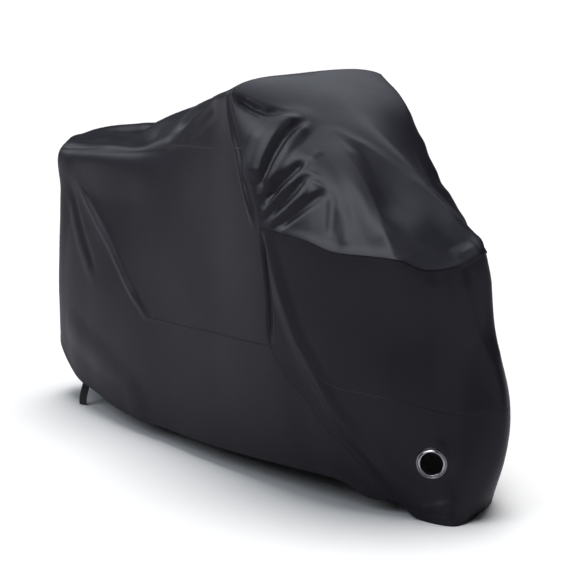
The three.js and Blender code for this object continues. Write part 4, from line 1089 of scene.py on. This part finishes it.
@dataclass
class Studio:
    """Camera, floor and soft lights."""

    azimuth: float = math.radians(48.5)
    elevation: float = math.radians(12.0)
    distance: float = 6.0
    lens: float = 108.09
    target: Point = (0.084, 0.0145, 0.564)
    room: float = 0.04
    glow: float = 0.002
    window: float = 3.25
    window_angle: float = math.radians(44)
    window_from: Point = (-0.12, 0.2, 0.97)
    light_tint: Colour = (0.86, 0.92, 1.0)
    floor_side: float = 60
    floor_gap: float = 0.001
    floor_tone: Colour = (0.41, 0.39, 0.43)
    floor_seen: Colour = (0.99, 0.99, 0.99)

    def camera(self) -> None:
        """Set up the camera at the photograph's angle."""
        data = bpy.data.cameras.new("camera")
        data.lens, data.sensor_width = self.lens, 36.0
        data.clip_end = 100.0
        camera = placed("camera", data)
        flat = math.cos(self.elevation)
        back = Vector((math.sin(self.azimuth) * flat, -math.cos(self.azimuth) * flat,
                       math.sin(self.elevation)))
        camera.location = Vector(self.target) + back * self.distance
        camera.rotation_euler = back.to_track_quat("Z", "Y").to_euler()
        bpy.context.scene.camera = camera

    def floor(self) -> None:
        """Lay the pale floor."""
        bpy.ops.object.select_all(action="DESELECT")
        bpy.ops.mesh.primitive_plane_add(size=self.floor_side, location=(0, 0, -self.floor_gap))
        floor = bpy.context.object
        floor.name = "floor"
        g = Graph("floor_white")
        seen = g.node("ShaderNodeLightPath", output="Is Camera Ray")
        floor.data.materials.append(g.finish({
            "Base Color": g.blend(seen, self.floor_tone, self.floor_seen),
            "Roughness": 0.9, "Specular IOR Level": 0.0,
            "Emission Color": (1, 1, 1), "Emission Strength": seen * self.glow,
        }))

    def light(self, lamp: Lamp) -> None:
        """Hang one soft square light."""
        data = bpy.data.lights.new(lamp.name, "AREA")
        data.size, data.energy, data.color = lamp.size, lamp.power, self.light_tint
        hung = placed(lamp.name, data)
        hung.location, hung.visible_diffuse, hung.visible_glossy = lamp.place, not lamp.shine, lamp.shine
        hung.rotation_euler = (Vector(lamp.place) - Vector(lamp.aim)).to_track_quat("Z", "Y").to_euler()

    def lights(self) -> None:
        """Light the room."""
        world = bpy.data.worlds.new("room")
        world.use_nodes = True
        tree = world.node_tree
        shown, plain = tree.nodes.new("ShaderNodeLightPath"), tree.nodes["Background"]
        backdrop = tree.nodes.new("ShaderNodeBackground")
        for node, tint, strength in ((plain, self.light_tint, self.room), (backdrop, (1, 1, 1), 1.0)):
            node.inputs[0].default_value, node.inputs[1].default_value = (*tint, 1), strength
        mix = tree.nodes.new("ShaderNodeMixShader")
        for i, output in enumerate((shown.outputs["Is Camera Ray"], plain.outputs[0], backdrop.outputs[0])):
            tree.links.new(output, mix.inputs[i])
        tree.links.new(mix.outputs[0], tree.nodes["World Output"].inputs[0])
        bpy.context.scene.world = world
        data = bpy.data.lights.new("high_window", "SUN")
        data.energy, data.angle = self.window, self.window_angle
        window = placed("high_window", data)
        window.rotation_euler = Vector(self.window_from).to_track_quat("Z", "Y").to_euler()
        window.visible_glossy = False
        for lamp in LAMPS:
            self.light(lamp)
        bpy.context.scene.view_settings.view_transform = "Standard"


@dataclass
class Cover:
    """The whole cover: which patches each panel is cut from."""

    drape: Drape
    fine: float = 1.0
    tuck: float = 0.01

    def _patch(self, side: Side, levels: tuple[float, float], ribs: tuple[Ribs, Ribs],
               rows: int, columns: int, **borders: Border) -> Patch:
        """Return a patch at the wanted fineness."""
        rows, columns = (max(4, round(count * self.fine)) for count in (rows, columns))
        return Patch(side, levels, ribs, rows, columns, **borders)

    def _pair(self, *cut: object, **borders: Border) -> tuple[Patch, ...]:
        """Return the same patch on both sides."""
        return tuple(self._patch(side, *cut, **borders) for side in Side)

    def panels(self) -> list[ClothPanel]:
        """Return every panel of the cover."""
        seam, hem, pressed = Border.SEAM, Border.HEM, Border.PRESSED
        rear, mirror, nose = fixed(REAR_MIDDLE), fixed(MIRROR), fixed(NOSE)
        rear_seam, belly_seam, low_end = edge(REAR_SEAM), edge(BELLY_SEAM), fixed(REAR_SEAM[1])
        below, above = (Level.HEM, Level.LOWER_SEAM), (Level.LOWER_SEAM, Level.SEAT_EDGE)
        seat = self._pair((Level.SEAT_EDGE, Level.TOP), (rear, mirror), 56, 190, low=seam, front=seam)
        hood = self._pair((Level.HOOD_EDGE, Level.TOP), (mirror, nose), 120, 150,
                          low=Border.LAP, back=seam)
        front = self._pair((Level.LOWER_SEAM, Level.HOOD_EDGE + self.tuck), (mirror, nose), 80, 130,
                           low=seam, high=seam, back=seam)
        panels = [
            ClothPanel("seat_cloth", "seat_panel", seat, (1.45, 0.75), 0.7785),
            ClothPanel("hood_cloth", "hood_panel", hood, (1.2, 1.1), 0.8),
            ClothPanel("front_cloth", "front_panel", front, (1.6, 0.56), 0.664),
        ]
        for side in Side:
            word = side.name.lower()
            wall = (self._patch(side, above, (rear_seam, mirror), 90, 150,
                                low=pressed, high=seam, back=pressed, front=seam),)
            skirt = (
                self._patch(side, below, (rear, low_end), 46, 110, low=hem, back=seam),
                self._patch(side, below, (low_end, belly_seam), 46, 110,
                            low=hem, high=Border.PROUD, front=seam),
                self._patch(side, above, (rear, rear_seam), 80, 110, high=seam, front=pressed, back=seam),
            )
            wheel = (self._patch(side, below, (belly_seam, nose), 60, 90,
                                 low=hem, high=seam, back=seam, front=seam),)
            panels += [
                ClothPanel(f"side_cloth_{word}", f"side_panel_{word}", wall, (1.43, 0.62), 0.68),
                ClothPanel(f"rear_skirt_cloth_{word}", f"rear_skirt_{word}", skirt, (2.1, 0.95), 1.02),
                WheelSkirt(f"wheel_skirt_cloth_{word}", f"wheel_skirt_{word}", wheel, (0.72, 0.5), 0.2,
                           seat=EyeletSeat(side, self.drape)),
            ]
        return panels

    def build(self) -> None:
        """Make every panel, the eyelets and the strap."""
        cloth = CoatedCloth().material()
        for panel in self.panels():
            panel.build(self.drape, cloth)
        steel = DarkSteel().material()
        for side in Side:
            word = side.name.lower()
            Eyelet(f"eyelet_ring_{word}", f"eyelet_{word}", EyeletSeat(side, self.drape)).build(steel)
        Strap(self.drape).build(Webbing().material())


def main() -> None:
    """Load the frame, build the cover and dress the room."""
    logging.basicConfig(level=logging.INFO, format="%(message)s")
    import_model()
    studio = Studio()
    studio.camera()
    Cover(Drape(), fine=1.0).build()
    studio.floor()
    studio.lights()


if __name__ == "__main__":
    main()
